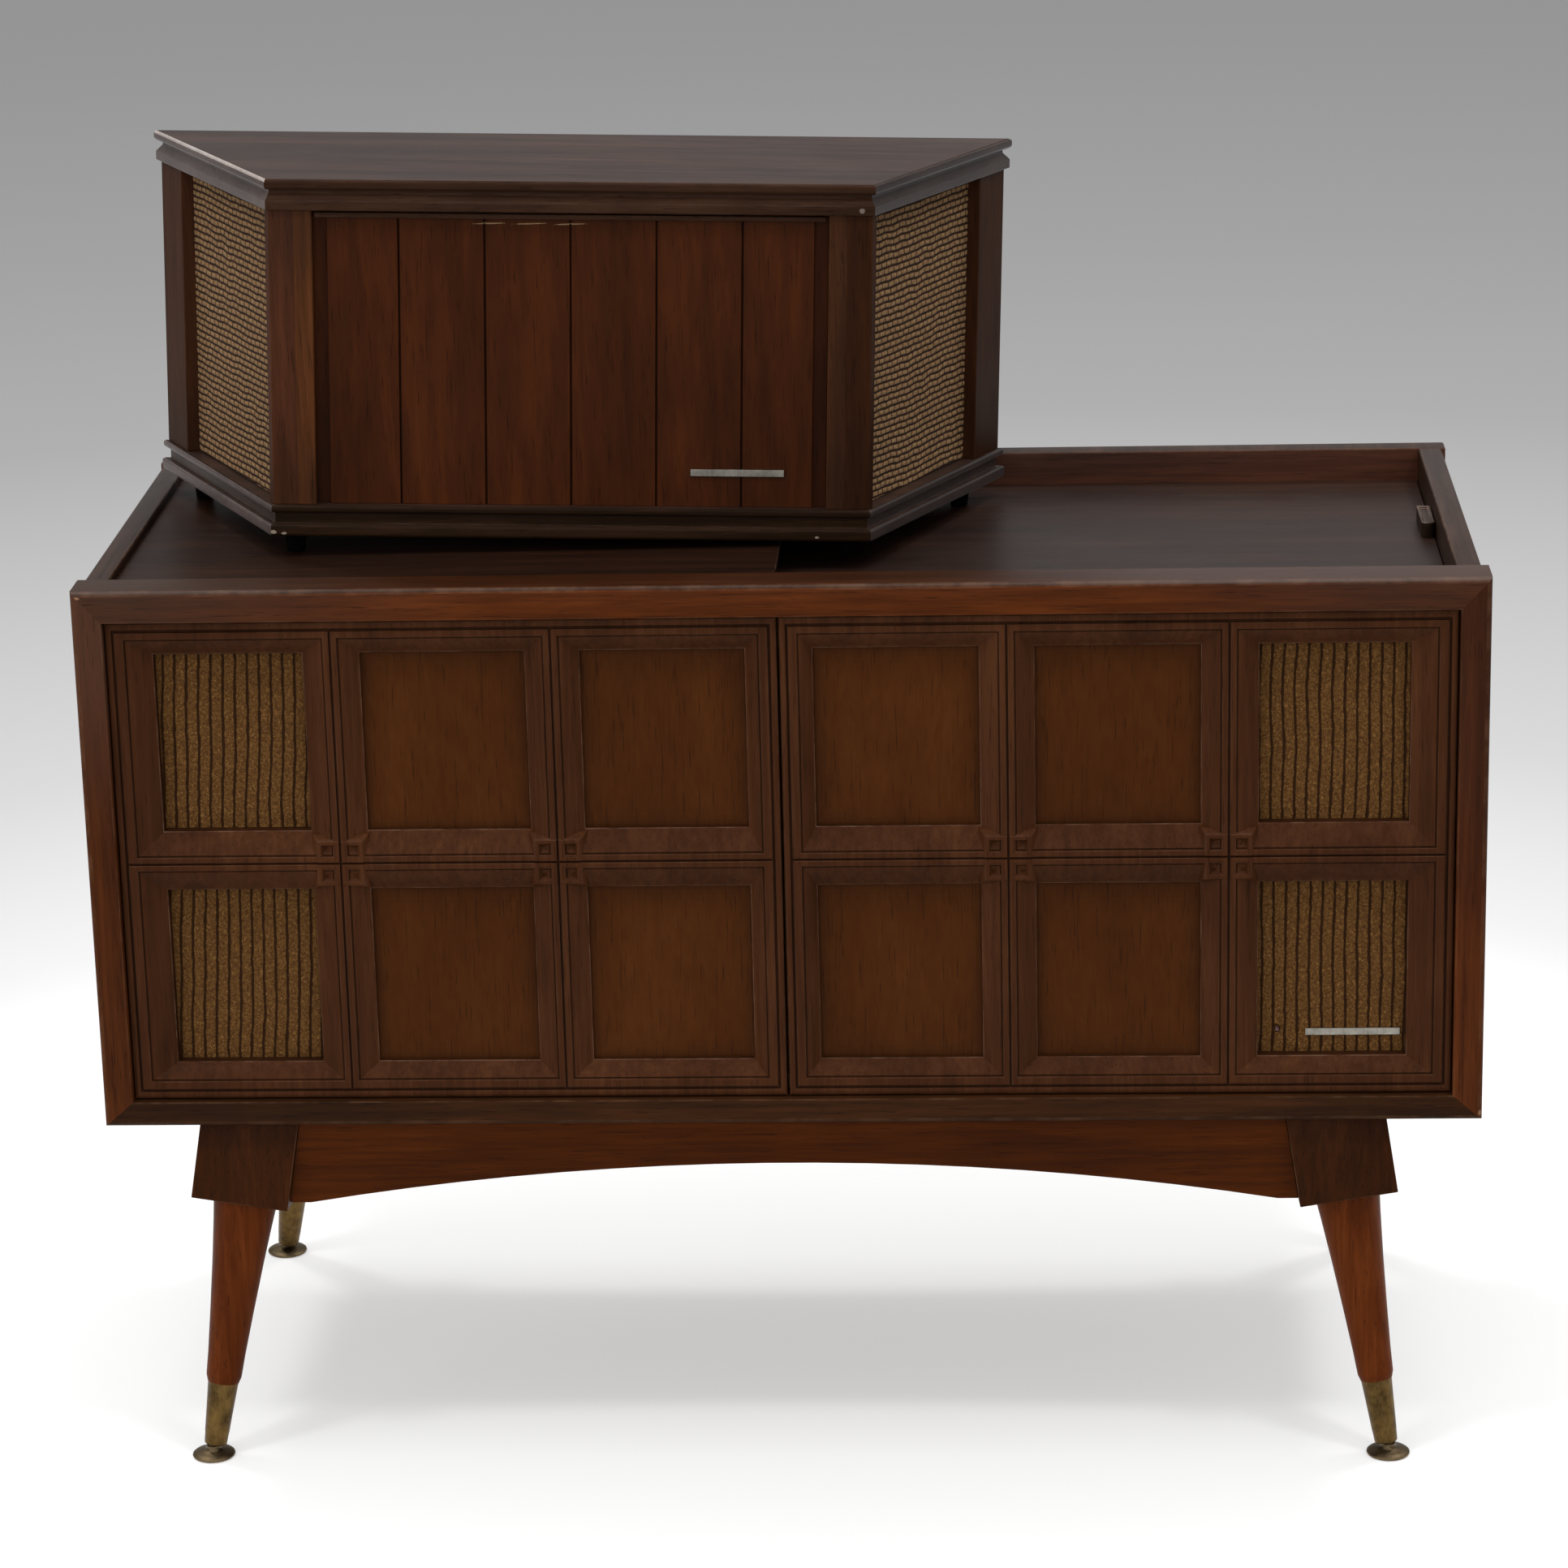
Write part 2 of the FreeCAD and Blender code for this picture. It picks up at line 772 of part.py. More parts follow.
def back_panel():
    """The vented hardboard back with its screws, terminal plate and mains inlet."""
    reach = side_inner - back_panel_clearance
    low = floor_to_case + back_panel_clearance
    panel = box(-reach, reach, back_panel_front, rail_front, low, rail_low)
    vents = []
    for column in range(vent_columns):
        for row in range(vent_rows):
            x = vent_centre_x + (column - (vent_columns - 1) / 2) * vent_pitch
            z = floor_to_case + vent_centre_height + (row - (vent_rows - 1) / 2) * vent_pitch
            vents.append(rod(vent_radius, x, back_panel_front - overrun, z,
                             back_panel_thickness + 2 * overrun, to_back))
    panel = panel.cut(Part.makeCompound(vents))
    screws = back_screws()
    panel = panel.cut(Part.makeCompound(screws))
    inlet_z = floor_to_case + terminal_height
    inlet_x = vent_centre_x + inlet_offset
    inlet = box(inlet_x - inlet_width / 2, inlet_x + inlet_width / 2,
                rail_front - inlet_depth, rail_front,
                inlet_z - inlet_height / 2, inlet_z + inlet_height / 2)
    panel = panel.cut(inlet)
    socket = box(inlet_x - inlet_slot_width / 2, inlet_x + inlet_slot_width / 2,
                 rail_front - inlet_slot_depth, rail_front + overrun,
                 inlet_z - inlet_slot_height / 2, inlet_z + inlet_slot_height / 2)
    inlet = inlet.cut(socket)
    plate = box(vent_centre_x - terminal_plate_width / 2, vent_centre_x + terminal_plate_width / 2,
                rail_front, rail_front + terminal_plate_thickness,
                inlet_z - terminal_plate_height / 2, inlet_z + terminal_plate_height / 2)
    pitch = terminal_plate_width / terminal_count
    for n in range(terminal_count):
        x = vent_centre_x + (n - (terminal_count - 1) / 2) * pitch
        plate = plate.fuse(rod(terminal_radius, x, rail_front + terminal_plate_thickness, inlet_z,
                               terminal_length, to_back))
    save("back_panel", panel)
    save("back_panel_fittings", plate, inlet, *screws)


def changer():
    """The sprung plate with its spindle and arm rest, the motor, the platter and its mat."""
    plate = box(plate_left, plate_right, plate_front, plate_front + plate_depth, plate_bottom, plate_top)
    plate = rounded(plate, plate_corner, upright)
    hollow = box(plate_left + plate_sheet, plate_right - plate_sheet, plate_front + plate_sheet,
                 plate_front + plate_depth - plate_sheet, plate_bottom - overrun, plate_top - plate_sheet)
    hollow = rounded(hollow, plate_corner - plate_sheet, upright)
    plate = plate.cut(hollow)
    drop = plate_top - plate_sheet
    for radius, x, y in ((turret_shaft_radius, arm_x, arm_y), (steady_shaft_radius, steady_x, steady_y),
                         (speed_shaft_radius, speed_x, speed_y)):
        plate = plate.cut(rod(radius + running_clearance, x, y, drop - overrun, 2 * overrun + plate_sheet))
    lever_x = plate_right - lever_inset_x
    lever_y = plate_front + lever_inset_y
    slot_reach = lever_stem_width / 2 + lever_slot_margin
    slot_half = lever_stem_depth / 2 + lever_slot_margin
    plate = plate.cut(box(lever_x - lever_travel - slot_reach, lever_x + slot_reach,
                          lever_y - slot_half, lever_y + slot_half, drop - overrun, plate_top + overrun))
    spindle = rod(spindle_radius, platter_x, platter_y, plate_top, spindle_rise)
    spindle = spindle.makeFillet(spindle_radius / 2, [spindle.Edges[0]])
    rest_top = arm_z - arm_tube_radius - platter_gap
    rest = rod(rest_radius, arm_x, arm_y - rest_offset, plate_top, rest_top - plate_top)
    save("changer_plate", plate, spindle, rest)
    springs = []
    for x in (plate_left + spring_inset_x, plate_right - spring_inset_x):
        for y in (plate_front + spring_inset_y, plate_front + plate_depth - spring_inset_y):
            outer = rod(spring_outer_radius, x, y, deck_top, drop - deck_top)
            springs.append(outer.cut(rod(spring_inner_radius, x, y, deck_top, drop - deck_top)))
    save("changer_springs", *springs)
    motor_x = plate_left + motor_corner_offset_x
    motor_y = plate_front + plate_depth - motor_corner_offset_y
    motor = box(motor_x - motor_width / 2, motor_x + motor_width / 2,
                motor_y - motor_depth / 2, motor_y + motor_depth / 2, drop - motor_drop, drop)
    save("changer_motor", rounded(motor, motor_corner, upright))
    bore = spindle_radius + running_clearance
    low = platter_gap
    skirt_low = platter_rise - platter_skirt
    profile = [(bore, low), (platter_hub_radius, low), (platter_hub_radius, platter_rise - platter_skin),
               (platter_radius - platter_skirt_wall, platter_rise - platter_skin),
               (platter_radius - platter_skirt_wall, skirt_low), (platter_radius, skirt_low),
               (platter_radius, platter_rise), (bore, platter_rise)]
    save("platter", turned(profile, platter_x, platter_y, plate_top))
    mat = rod(platter_radius - mat_edge, platter_x, platter_y, platter_top, mat_thickness)
    save("platter_mat", mat.cut(rod(mat_hole_radius, platter_x, platter_y, platter_top, mat_thickness)))


def tonearm():
    """The turning turret with two ears and the arm that tips on a pin between them."""
    base_z = plate_top + platter_gap
    turret = rod(turret_radius, arm_x, arm_y, base_z, turret_height)
    turret = turret.fuse(rod(turret_shaft_radius, arm_x, arm_y, base_z, turret_shaft_length, -up))
    ear_z = base_z + turret_height
    for side in (-1, 1):
        near = arm_x + side * ear_gap / 2
        far = near + side * ear_thickness
        turret = turret.fuse(box(min(near, far), max(near, far), arm_y - ear_depth / 2,
                                 arm_y + ear_depth / 2, ear_z, ear_z + ear_height))
    reach = ear_gap / 2 + ear_thickness
    hole = rod(arm_pin_radius + running_clearance, arm_x - reach - overrun, arm_y, arm_z,
               2 * (reach + overrun), to_right)
    save("tonearm_turret", turret.cut(hole))
    tube = rod(arm_tube_radius, arm_x, arm_y + arm_tail, arm_z, arm_length + arm_tail, -to_back)
    block = box(arm_x - arm_block_width / 2, arm_x + arm_block_width / 2,
                arm_y - arm_block_length / 2, arm_y + arm_block_length / 2,
                arm_z - arm_block_height / 2, arm_z + arm_block_height / 2)
    pin = rod(arm_pin_radius, arm_x - reach, arm_y, arm_z, 2 * reach, to_right)
    head_y = arm_y - arm_length
    head = box(arm_x - head_width / 2, arm_x + head_width / 2, head_y - head_length / 2,
               head_y + head_length / 2, arm_z - head_height / 2 - platter_gap, arm_z + head_height / 2)
    head = rounded(head, head_width / 5, upright)
    arm = tube.fuse(block).fuse(pin).fuse(head)
    weight_y = arm_y + counterweight_start
    weight = rod(counterweight_radius, arm_x, weight_y, arm_z, counterweight_length, to_back)
    weight = weight.cut(rod(arm_tube_radius, arm_x, weight_y, arm_z, counterweight_length, to_back))
    save("tonearm", arm, weight)


def changer_controls():
    """The swinging arm that steadies a stack of records, the speed lever and the start lever."""
    base_z = plate_top + platter_gap
    post = rod(steady_post_radius, steady_x, steady_y, base_z, steady_rise)
    post = post.fuse(rod(steady_shaft_radius, steady_x, steady_y, base_z, turret_shaft_length, -up))
    top_z = base_z + steady_rise
    bar = box(steady_x, steady_x + steady_length, steady_y - steady_width / 2,
              steady_y + steady_width / 2, top_z, top_z + steady_thickness)
    for x in (steady_x, steady_x + steady_length):
        bar = bar.fuse(rod(steady_width / 2, x, steady_y, top_z, steady_thickness))
    save("record_arm", post.fuse(bar).removeSplitter())
    disc = rod(speed_disc_radius, speed_x, speed_y, base_z, speed_disc_height)
    disc = disc.fuse(rod(speed_shaft_radius, speed_x, speed_y, base_z, turret_shaft_length, -up))
    handle = box(speed_x - speed_arm_width / 2, speed_x + speed_arm_width / 2, speed_y - speed_arm_length,
                 speed_y, base_z, base_z + speed_arm_height)
    save("speed_lever", disc.fuse(handle))
    lever_x = plate_right - lever_inset_x
    lever_y = plate_front + lever_inset_y
    lever = box(lever_x - lever_width / 2, lever_x + lever_width / 2, lever_y - lever_depth / 2,
                lever_y + lever_depth / 2, base_z, base_z + lever_height)
    lever = rounded(lever, lever_width / 4, upright)
    stem = box(lever_x - lever_stem_width / 2, lever_x + lever_stem_width / 2,
               lever_y - lever_stem_depth / 2, lever_y + lever_stem_depth / 2,
               base_z - lever_stem_depth, base_z)
    save("start_lever", lever.fuse(stem))


def knob(radius, skirt, x, y):
    """A fluted-looking knob with its skirt above the panel and its shaft through it."""
    base = control_top + knob_lift
    profile = [(0, -knob_shaft_length), (knob_shaft_radius, -knob_shaft_length), (knob_shaft_radius, 0),
               (skirt, 0), (skirt, knob_skirt_height / 2), (radius, knob_skirt_height),
               (radius, knob_height), (0, knob_height)]
    return turned(profile, x, y, base)


def control_places():
    """The knob, button and dial places on the control panel."""
    x = control_left + knob_line
    y0 = control_front + knob_first
    knobs = {name: (x, y0 + n * knob_pitch)
             for n, name in enumerate(("volume_knob", "tone_knob", "selector_knob"))}
    knobs["tuning_knob"] = (x, control_front + tuning_knob_offset)
    return knobs, (x, control_front + button_offset)


def control_panel():
    """The folded metal panel with its dial, knobs, pointer and power button."""
    right = control_left + control_width
    rear = control_front + control_depth
    panel = box(control_left, right, control_front, rear, deck_top, control_top)
    panel = rounded(panel, control_corner, upright)
    sheet = control_side_sheet
    panel = panel.cut(box(control_left + sheet, right - sheet, control_front + sheet, rear - sheet,
                          deck_top - overrun, control_under))
    dial_x = control_left + dial_left
    middle = (control_front + rear) / 2
    half = dial_length / 2
    floor_z = control_top - dial_recess
    panel = panel.cut(box(dial_x, dial_x + dial_width, middle - half, middle + half,
                          floor_z, control_top + overrun))
    slot_x = dial_x + dial_width - dial_slot_inset
    half_slot = dial_slot_width / 2
    panel = panel.cut(box(slot_x - half_slot, slot_x + half_slot, middle - dial_slot_length / 2,
                          middle + dial_slot_length / 2, control_under - overrun, control_top))
    knobs, button = control_places()
    for x, y in knobs.values():
        panel = panel.cut(rod(knob_shaft_radius + running_clearance, x, y, control_under - overrun,
                              control_sheet + 2 * overrun))
    bx, by = button
    reach = button_side / 2 + button_fit
    panel = panel.cut(box(bx - reach, bx + reach, by - reach, by + reach,
                          control_under - overrun, control_top + overrun))
    carrier_top = control_under - carrier_gap
    rail_z = carrier_top - carrier_height / 2
    rail = rod(rail_radius, slot_x, control_front + sheet, rail_z, control_depth - 2 * sheet, to_back)
    save("control_panel", panel, rail)
    glass = box(dial_x - glass_border, dial_x + dial_width + glass_border, middle - half - glass_border,
                middle + half + glass_border, control_top, control_top + glass_thickness)
    save("dial_glass", rounded(glass, glass_border / 2, upright))
    needle_z = floor_z + pointer_lift
    needle = box(slot_x + pointer_neck / 2 - pointer_length, slot_x + pointer_neck / 2,
                 middle - pointer_width / 2, middle + pointer_width / 2,
                 needle_z, needle_z + pointer_thickness)
    neck = box(slot_x - pointer_neck / 2, slot_x + pointer_neck / 2, middle - pointer_width / 2,
               middle + pointer_width / 2, carrier_top, needle_z)
    carrier = box(slot_x - carrier_width / 2, slot_x + carrier_width / 2, middle - carrier_width / 2,
                  middle + carrier_width / 2, carrier_top - carrier_height, carrier_top)
    carrier = carrier.cut(rod(rail_radius + running_clearance, slot_x, middle - carrier_width, rail_z,
                              2 * carrier_width, to_back))
    save("dial_pointer", needle.fuse(neck).fuse(carrier))
    for name, (x, y) in knobs.items():
        radius = tuning_knob_radius if name == "tuning_knob" else knob_radius
        save(name, knob(radius, radius + knob_skirt_radius - knob_radius, x, y))
    half_button = button_side / 2
    flange_top = control_under - button_fit
    cap = box(bx - half_button, bx + half_button, by - half_button, by + half_button,
              flange_top, control_top + button_rise)
    cap = rounded(cap, button_side / 8, lambda e: at_level(e, 2, control_top + button_rise))
    lip = half_button + button_flange
    flange = box(bx - lip, bx + lip, by - lip, by + lip, flange_top - button_flange_height, flange_top)
    save("power_button", cap.fuse(flange))


def amplifier():
    """The chassis with its valves and transformer on the floor of the left-hand bay."""
    chassis_left = -bay_edge + chassis_wall_gap
    right = -wall_thickness - chassis_middle_gap
    y0 = frame_back + chassis_front_gap
    y1 = y0 + chassis_depth
    top_z = floor_top + chassis_height
    chassis = box(chassis_left, right, y0, y1, floor_top, top_z)
    chassis = chassis.cut(box(chassis_left + chassis_sheet, right - chassis_sheet, y0 + chassis_sheet,
                              y1 - chassis_sheet, floor_top - overrun, top_z - chassis_sheet))
    save("amplifier_chassis", chassis)
    valves = []
    for n in range(valve_count):
        x = chassis_left + (right - chassis_left) * (n + 1) / (valve_count + 1)
        profile = [(0, 0), (valve_base_radius, 0), (valve_base_radius, valve_base_height),
                   (valve_radius, valve_base_height), (valve_radius, valve_height - valve_radius / 2),
                   (valve_radius / 2, valve_height), (0, valve_height)]
        valves.append(turned(profile, x, y0 + valve_row_offset, top_z))
    save("amplifier_valves", *valves)
    tx = right - transformer_inset - transformer_width
    ty = y1 - transformer_inset - transformer_depth
    core_half = transformer_width * transformer_core_share / 2
    middle = tx + transformer_width / 2
    core = box(middle - core_half, middle + core_half, ty, ty + transformer_depth,
               top_z, top_z + transformer_height)
    bell_inset = transformer_depth * (1 - transformer_bell_share) / 2
    bell = box(tx, tx + transformer_width, ty + bell_inset, ty + transformer_depth - bell_inset,
               top_z, top_z + transformer_height * transformer_bell_share)
    save("power_transformer", core.fuse(bell))


def leaned(shape, corner_x, corner_y):
    """A piece made upright over the origin, leaned out towards its corner and stood at its foot."""
    placed = shape.copy()
    placed.rotate(FreeCAD.Vector(0, 0, 0), to_back, -corner_x * splay_angle)
    placed.rotate(FreeCAD.Vector(0, 0, 0), to_right, corner_y * splay_angle)
    placed.translate(FreeCAD.Vector(corner_x * foot_x, corner_y * foot_y, 0))
    return placed


def base():
    """Four splayed legs with blocks, ferrules, glides and bolts, and the arched aprons."""
    lean = 1 / math.cos(math.radians(splay_angle)) ** 2
    block_low = (floor_to_case - block_drop) * lean
    block = box(-block_side / 2, block_side / 2, -block_side / 2, block_side / 2,
                block_low, block_low + block_length)
    head_space = box(-half_case, half_case, front, back, floor_to_case, case_top)
    ferrule_from = ferrule_bottom * lean
    ferrule_to = ferrule_top * lean
    leg = turned([(0, ferrule_from), (leg_tenon_foot_radius, ferrule_from), (leg_tenon_radius, ferrule_to),
                  (leg_foot_radius, ferrule_to), (leg_top_radius, block_low), (0, block_low)], 0, 0, 0)
    ferrule = turned([(leg_tenon_foot_radius, ferrule_from), (ferrule_bottom_radius, ferrule_from),
                      (ferrule_top_radius, ferrule_to), (leg_tenon_radius, ferrule_to)], 0, 0, 0)
    bolt = rod(bolt_radius, 0, 0, block_low - bolt_length / 2, bolt_length)
    block = block.cut(bolt)
    leg = leg.cut(bolt)
    glide = turned([(0, 0), (glide_radius - glide_rim, 0), (glide_radius, glide_rim),
                    (glide_radius * glide_waist_share, glide_height - glide_rim), (glide_stem_radius, glide_height),
                    (0, glide_height)], 0, 0, 0)
    stem = rod(glide_stem_radius, 0, 0, 0, ferrule_from)
    blocks, legs, ferrules, glides, bolts = [], [], [], [], []
    for corner_x in (-1, 1):
        for corner_y in (-1, 1):
            blocks.append(leaned(block, corner_x, corner_y).cut(head_space))
            legs.append(leaned(leg, corner_x, corner_y))
            ferrules.append(leaned(ferrule, corner_x, corner_y))
            bolts.append(leaned(bolt, corner_x, corner_y))
            foot = glide.copy()
            foot.translate(FreeCAD.Vector(corner_x * foot_x, corner_y * foot_y, 0))
            neck = leaned(stem, corner_x, corner_y)
            under = box(-half_case, half_case, front - case_depth, back + case_depth,
                        -overrun, glide_height / 2)
            glides.append(foot.fuse(neck.cut(under)))
    save("corner_blocks", *blocks)
    save("legs", *legs)
    save("ferrules", *ferrules)
    save("glides", *glides)
    save("leg_bolts", *bolts)
    reach = foot_x
    half_span = foot_x - apron_foot_inset
    end_z = floor_to_case - apron_drop_end
    middle_z = floor_to_case - apron_drop_middle
    y0 = front + apron_front_offset
    corner = [FreeCAD.Vector(x, y0, z) for x, z in (
        (-half_span, end_z), (-reach, end_z), (-reach, floor_to_case),
        (reach, floor_to_case), (reach, end_z), (half_span, end_z))]
    edges = Part.makePolygon(corner).Edges
    edges.append(Part.Arc(corner[-1], FreeCAD.Vector(0, y0, middle_z), corner[0]).toShape())
    apron = Part.Face(Part.Wire(edges)).extrude(FreeCAD.Vector(0, apron_thickness, 0))
    blocks_all = Part.makeCompound(blocks)
    span = apron.cut(blocks_all)
    front_apron = max(span.Solids, key=lambda s: s.Volume)
    back_apron = front_apron.mirror(FreeCAD.Vector(0, 0, 0), to_back)
    rail_x = foot_x - side_rail_offset - apron_thickness
    rail = box(rail_x - apron_thickness, rail_x, -foot_y, foot_y,
               floor_to_case - side_rail_height, floor_to_case)
    side_rail = max(rail.cut(blocks_all).Solids, key=lambda s: s.Volume)
    save("base_aprons", front_apron, back_apron, side_rail, mirrored(side_rail))


def stood_up(shape):
    """A piece of the extension speaker moved to where the cabinet stands: three feet on the panels."""
    feet = foot_places()
    left, right, near = feet[0], feet[1], feet[2]
    roll = math.asin((high_panel_top - low_panel_top) / (right[0] - left[0]))
    pitch = math.atan((near[0] - left[0]) * math.tan(roll) / (left[1] - near[1]))
    lean = FreeCAD.Rotation(to_right, -math.degrees(pitch)).multiply(
        FreeCAD.Rotation(to_back, math.degrees(roll)))
    turn = FreeCAD.Rotation(up, box_turn).multiply(lean)
    sole = turn.multVec(FreeCAD.Vector(left[0], left[1], -foot_height))
    rise = high_panel_top + foot_clearance - sole.z
    middle = FreeCAD.Vector(-half_case * box_offset_share, front + box_front_offset, rise)
    stand = FreeCAD.Placement(middle, turn)
    placed = shape.copy()
    placed.Placement = stand.multiply(placed.Placement)
    return placed


def foot_places():
    """The feet's places under the cabinet: back left, back right, front left, front right."""
    back_x = box_back_width / 2 - rear_foot_inset_x
    back_y = box_depth - rear_foot_inset_y
    near_x = box_front_width / 2 - front_foot_inset_x
    return [(-back_x, back_y), (back_x, back_y), (-near_x, front_foot_inset_y), (near_x, front_foot_inset_y)]


def slope():
    """The unit direction of the cabinet's right side, and its outward normal, in plan."""
    dx = (box_back_width - box_front_width) / 2
    length = math.hypot(dx, box_depth)
    along = (dx / length, box_depth / length)
    return along, (along[1], -along[0])


def trapezoid(inset):
    """The cabinet's plan outline drawn in by the same amount on every side."""
    along, outward = slope()
    y0 = inset
    y1 = box_depth - inset

    def side_x(y):
        base_x = box_front_width / 2 - inset / outward[0]
        return base_x + y * along[0] / along[1]
    return [(-side_x(y0), y0), (side_x(y0), y0), (side_x(y1), y1), (-side_x(y1), y1)]


def moulding(start, levels):
    """Plan outlines stacked from a level up: each has its inset at foot and top, its height and its round."""
    stack = None
    low = start
    for foot_inset, top_inset, height, radius in levels:
        high = low + height
        if foot_inset == top_inset:
            layer = plan_plate(trapezoid(foot_inset), low, high)
        else:
            loops = [plan_loop(trapezoid(foot_inset), low), plan_loop(trapezoid(top_inset), high)]
            layer = Part.makeLoft(loops, True, True)
        if radius:
            layer = rounded(layer, radius, lambda e: not upright(e))
        stack = layer if stack is None else stack.fuse(layer)
        low = high
    return stack


def side_plate(start, end, outer, inner, z0, z1):
    """A board along the right slanted side: its run from the body's front corner and its depths."""
    along, outward = slope()
    corner = trapezoid(body_inset)[1]

    def place(run, depth):
        return (corner[0] + along[0] * run - outward[0] * depth,
                corner[1] + along[1] * run - outward[1] * depth)
    outline = [place(start, outer), place(end, outer), place(end, inner), place(start, inner)]
    return plan_plate(outline, z0, z1)


def extension_speaker():
    """The trapezoid cabinet: mouldings, posts, front boards, slanted cloth sides, drivers and back."""
    low = base_slab_height + base_cove_height + base_bead_height
    high = box_height - top_slab_height - top_groove_height - top_flare_height - top_lip_height
    base_board = moulding(0, [(0, 0, base_slab_height, slab_round),
                              (cove_inset, cove_inset, base_cove_height, 0),
                              (bead_inset, bead_inset, base_bead_height, bead_round)])
    top_board = moulding(high, [(bead_inset, bead_inset, top_lip_height, 0),
                                (bead_inset, cove_inset, top_flare_height, 0),
                                (cove_inset, cove_inset, top_groove_height, 0),
                                (0, 0, top_slab_height, slab_round)])
    outline = trapezoid(body_inset)
    body = plan_plate(outline, low, high)
    along, outward = slope()
    board_half = outline[1][0] - front_post_width
    front_face = body_inset
    side_run = math.hypot(outline[2][0] - outline[1][0], outline[2][1] - outline[1][1])
    opening_from = front_post_side
    opening_to = side_run - rear_post_side
    inside = box(-board_half, board_half, front_face - overrun, front_face + post_depth, low, high)
    rear_y = box_depth - body_inset - post_depth
    rear_half = outline[2][0] - rear_post_width
    inside = inside.fuse(box(-rear_half, rear_half, front_face + post_depth, box_depth, low, high))
    baffle_face = side_baffle_recess + side_cloth_thickness
    baffle_inner = baffle_face + side_baffle_thickness
    cloth_cut = side_plate(opening_from, opening_to, -overrun, baffle_inner, low, high)
    posts = body.cut(inside).cut(cloth_cut).cut(mirrored(cloth_cut))
    boards_front = front_face + board_recess
    boards = box(-board_half, board_half, boards_front, boards_front + board_thickness, low, high)
    pitch = 2 * board_half / board_count
    for n in range(1, board_count):
        x = -board_half + n * pitch
        boards = boards.cut(box(x - board_line_width / 2, x + board_line_width / 2,
                                boards_front - overrun, boards_front + board_line_depth,
                                low - overrun, high + overrun))
    rebate = box(board_half - board_rebate_width, board_half + overrun, boards_front - overrun,
                 boards_front + board_rebate_depth, low - overrun, high + overrun)
    boards = boards.cut(rebate).cut(mirrored(rebate))
    rail_half = board_half - front_rail_end_gap
    rail_top = high - front_rail_gap
    rail = box(-rail_half, rail_half, front_face, boards_front, rail_top - front_rail_height, rail_top)
    cloth = side_plate(opening_from, opening_to, side_baffle_recess, baffle_face, low, high)
    baffle = side_plate(opening_from, opening_to, baffle_face, baffle_inner, low, high)
    middle_run = opening_from + (opening_to - opening_from) * driver_offset_share
    mid_x = outline[1][0] + along[0] * middle_run - outward[0] * baffle_inner
    mid_y = outline[1][1] + along[1] * middle_run - outward[1] * baffle_inner
    mid_z = (low + high) / 2
    outwards = FreeCAD.Vector(outward[0], outward[1], 0)
    seat = FreeCAD.Vector(mid_x, mid_y, mid_z)
    hole = Part.makeCylinder(driver_cone_radius, side_baffle_thickness + 2 * overrun,
                             seat - outwards * overrun, outwards)
    baffle = baffle.cut(hole)
    unit = drive_unit(driver_radius, driver_cone_radius, driver_depth)
    unit.rotate(FreeCAD.Vector(0, 0, 0), to_right, -90)
    unit.rotate(FreeCAD.Vector(0, 0, 0), up, math.degrees(math.atan2(outward[0], -outward[1])))
    unit.translate(seat)
    rear_face = box_depth - body_inset - box_back_recess
    panel = box(-rear_half, rear_half, rear_face - box_back_thickness, rear_face, low, high)
    fittings = []
    for n in range(box_screws_per_row):
        x = (2 * n / (box_screws_per_row - 1) - 1) * (rear_half - box_screw_inset)
        for z in (low + box_screw_inset, high - box_screw_inset):
            fittings.append(rod(screw_head_radius, x, rear_face, z, screw_head_height, to_back))
    plate_z = low + box_terminal_rise
    fittings.append(box(-box_terminal_width / 2, box_terminal_width / 2, rear_face,
                        rear_face + terminal_plate_thickness,
                        plate_z - box_terminal_height / 2, plate_z + box_terminal_height / 2))
    feet = [turned([(0, 0), (foot_radius - foot_taper, 0), (foot_radius, foot_height), (0, foot_height)],
                   x, y, -foot_height) for x, y in foot_places()]
    bar_right = board_half - box_bar_right_gap
    bar_low = low + box_bar_rise
    bar = box(bar_right - box_bar_length, bar_right, boards_front - bar_thickness, boards_front,
              bar_low, bar_low + box_bar_height)
    pieces = {
        "speaker_base_board": [base_board],
        "speaker_top_board": [top_board],
        "speaker_posts": posts.Solids + [rail],
        "speaker_front_boards": [boards],
        "speaker_side_baffles": [baffle, mirrored(baffle)],
        "speaker_side_cloth": [cloth, mirrored(cloth)],
        "speaker_drivers": [unit, mirrored(unit)],
        "speaker_back_panel": [panel],
        "speaker_back_fittings": fittings,
        "speaker_feet": feet,
        "speaker_name_bar": [bar],
    }
    for node, solids in pieces.items():
        save(node, *[stood_up(s) for s in solids])


os.makedirs("parts", exist_ok=True)
front_frame()
side_boards()
back_rail()
battens()
inner_boards()
console_front()
console_speakers()
top_panels()
back_panel()
changer()
tonearm()
changer_controls()
control_panel()
amplifier()
base()
extension_speaker()
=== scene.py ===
import math

import bmesh
import bpy
from mathutils import Matrix, Vector, noise

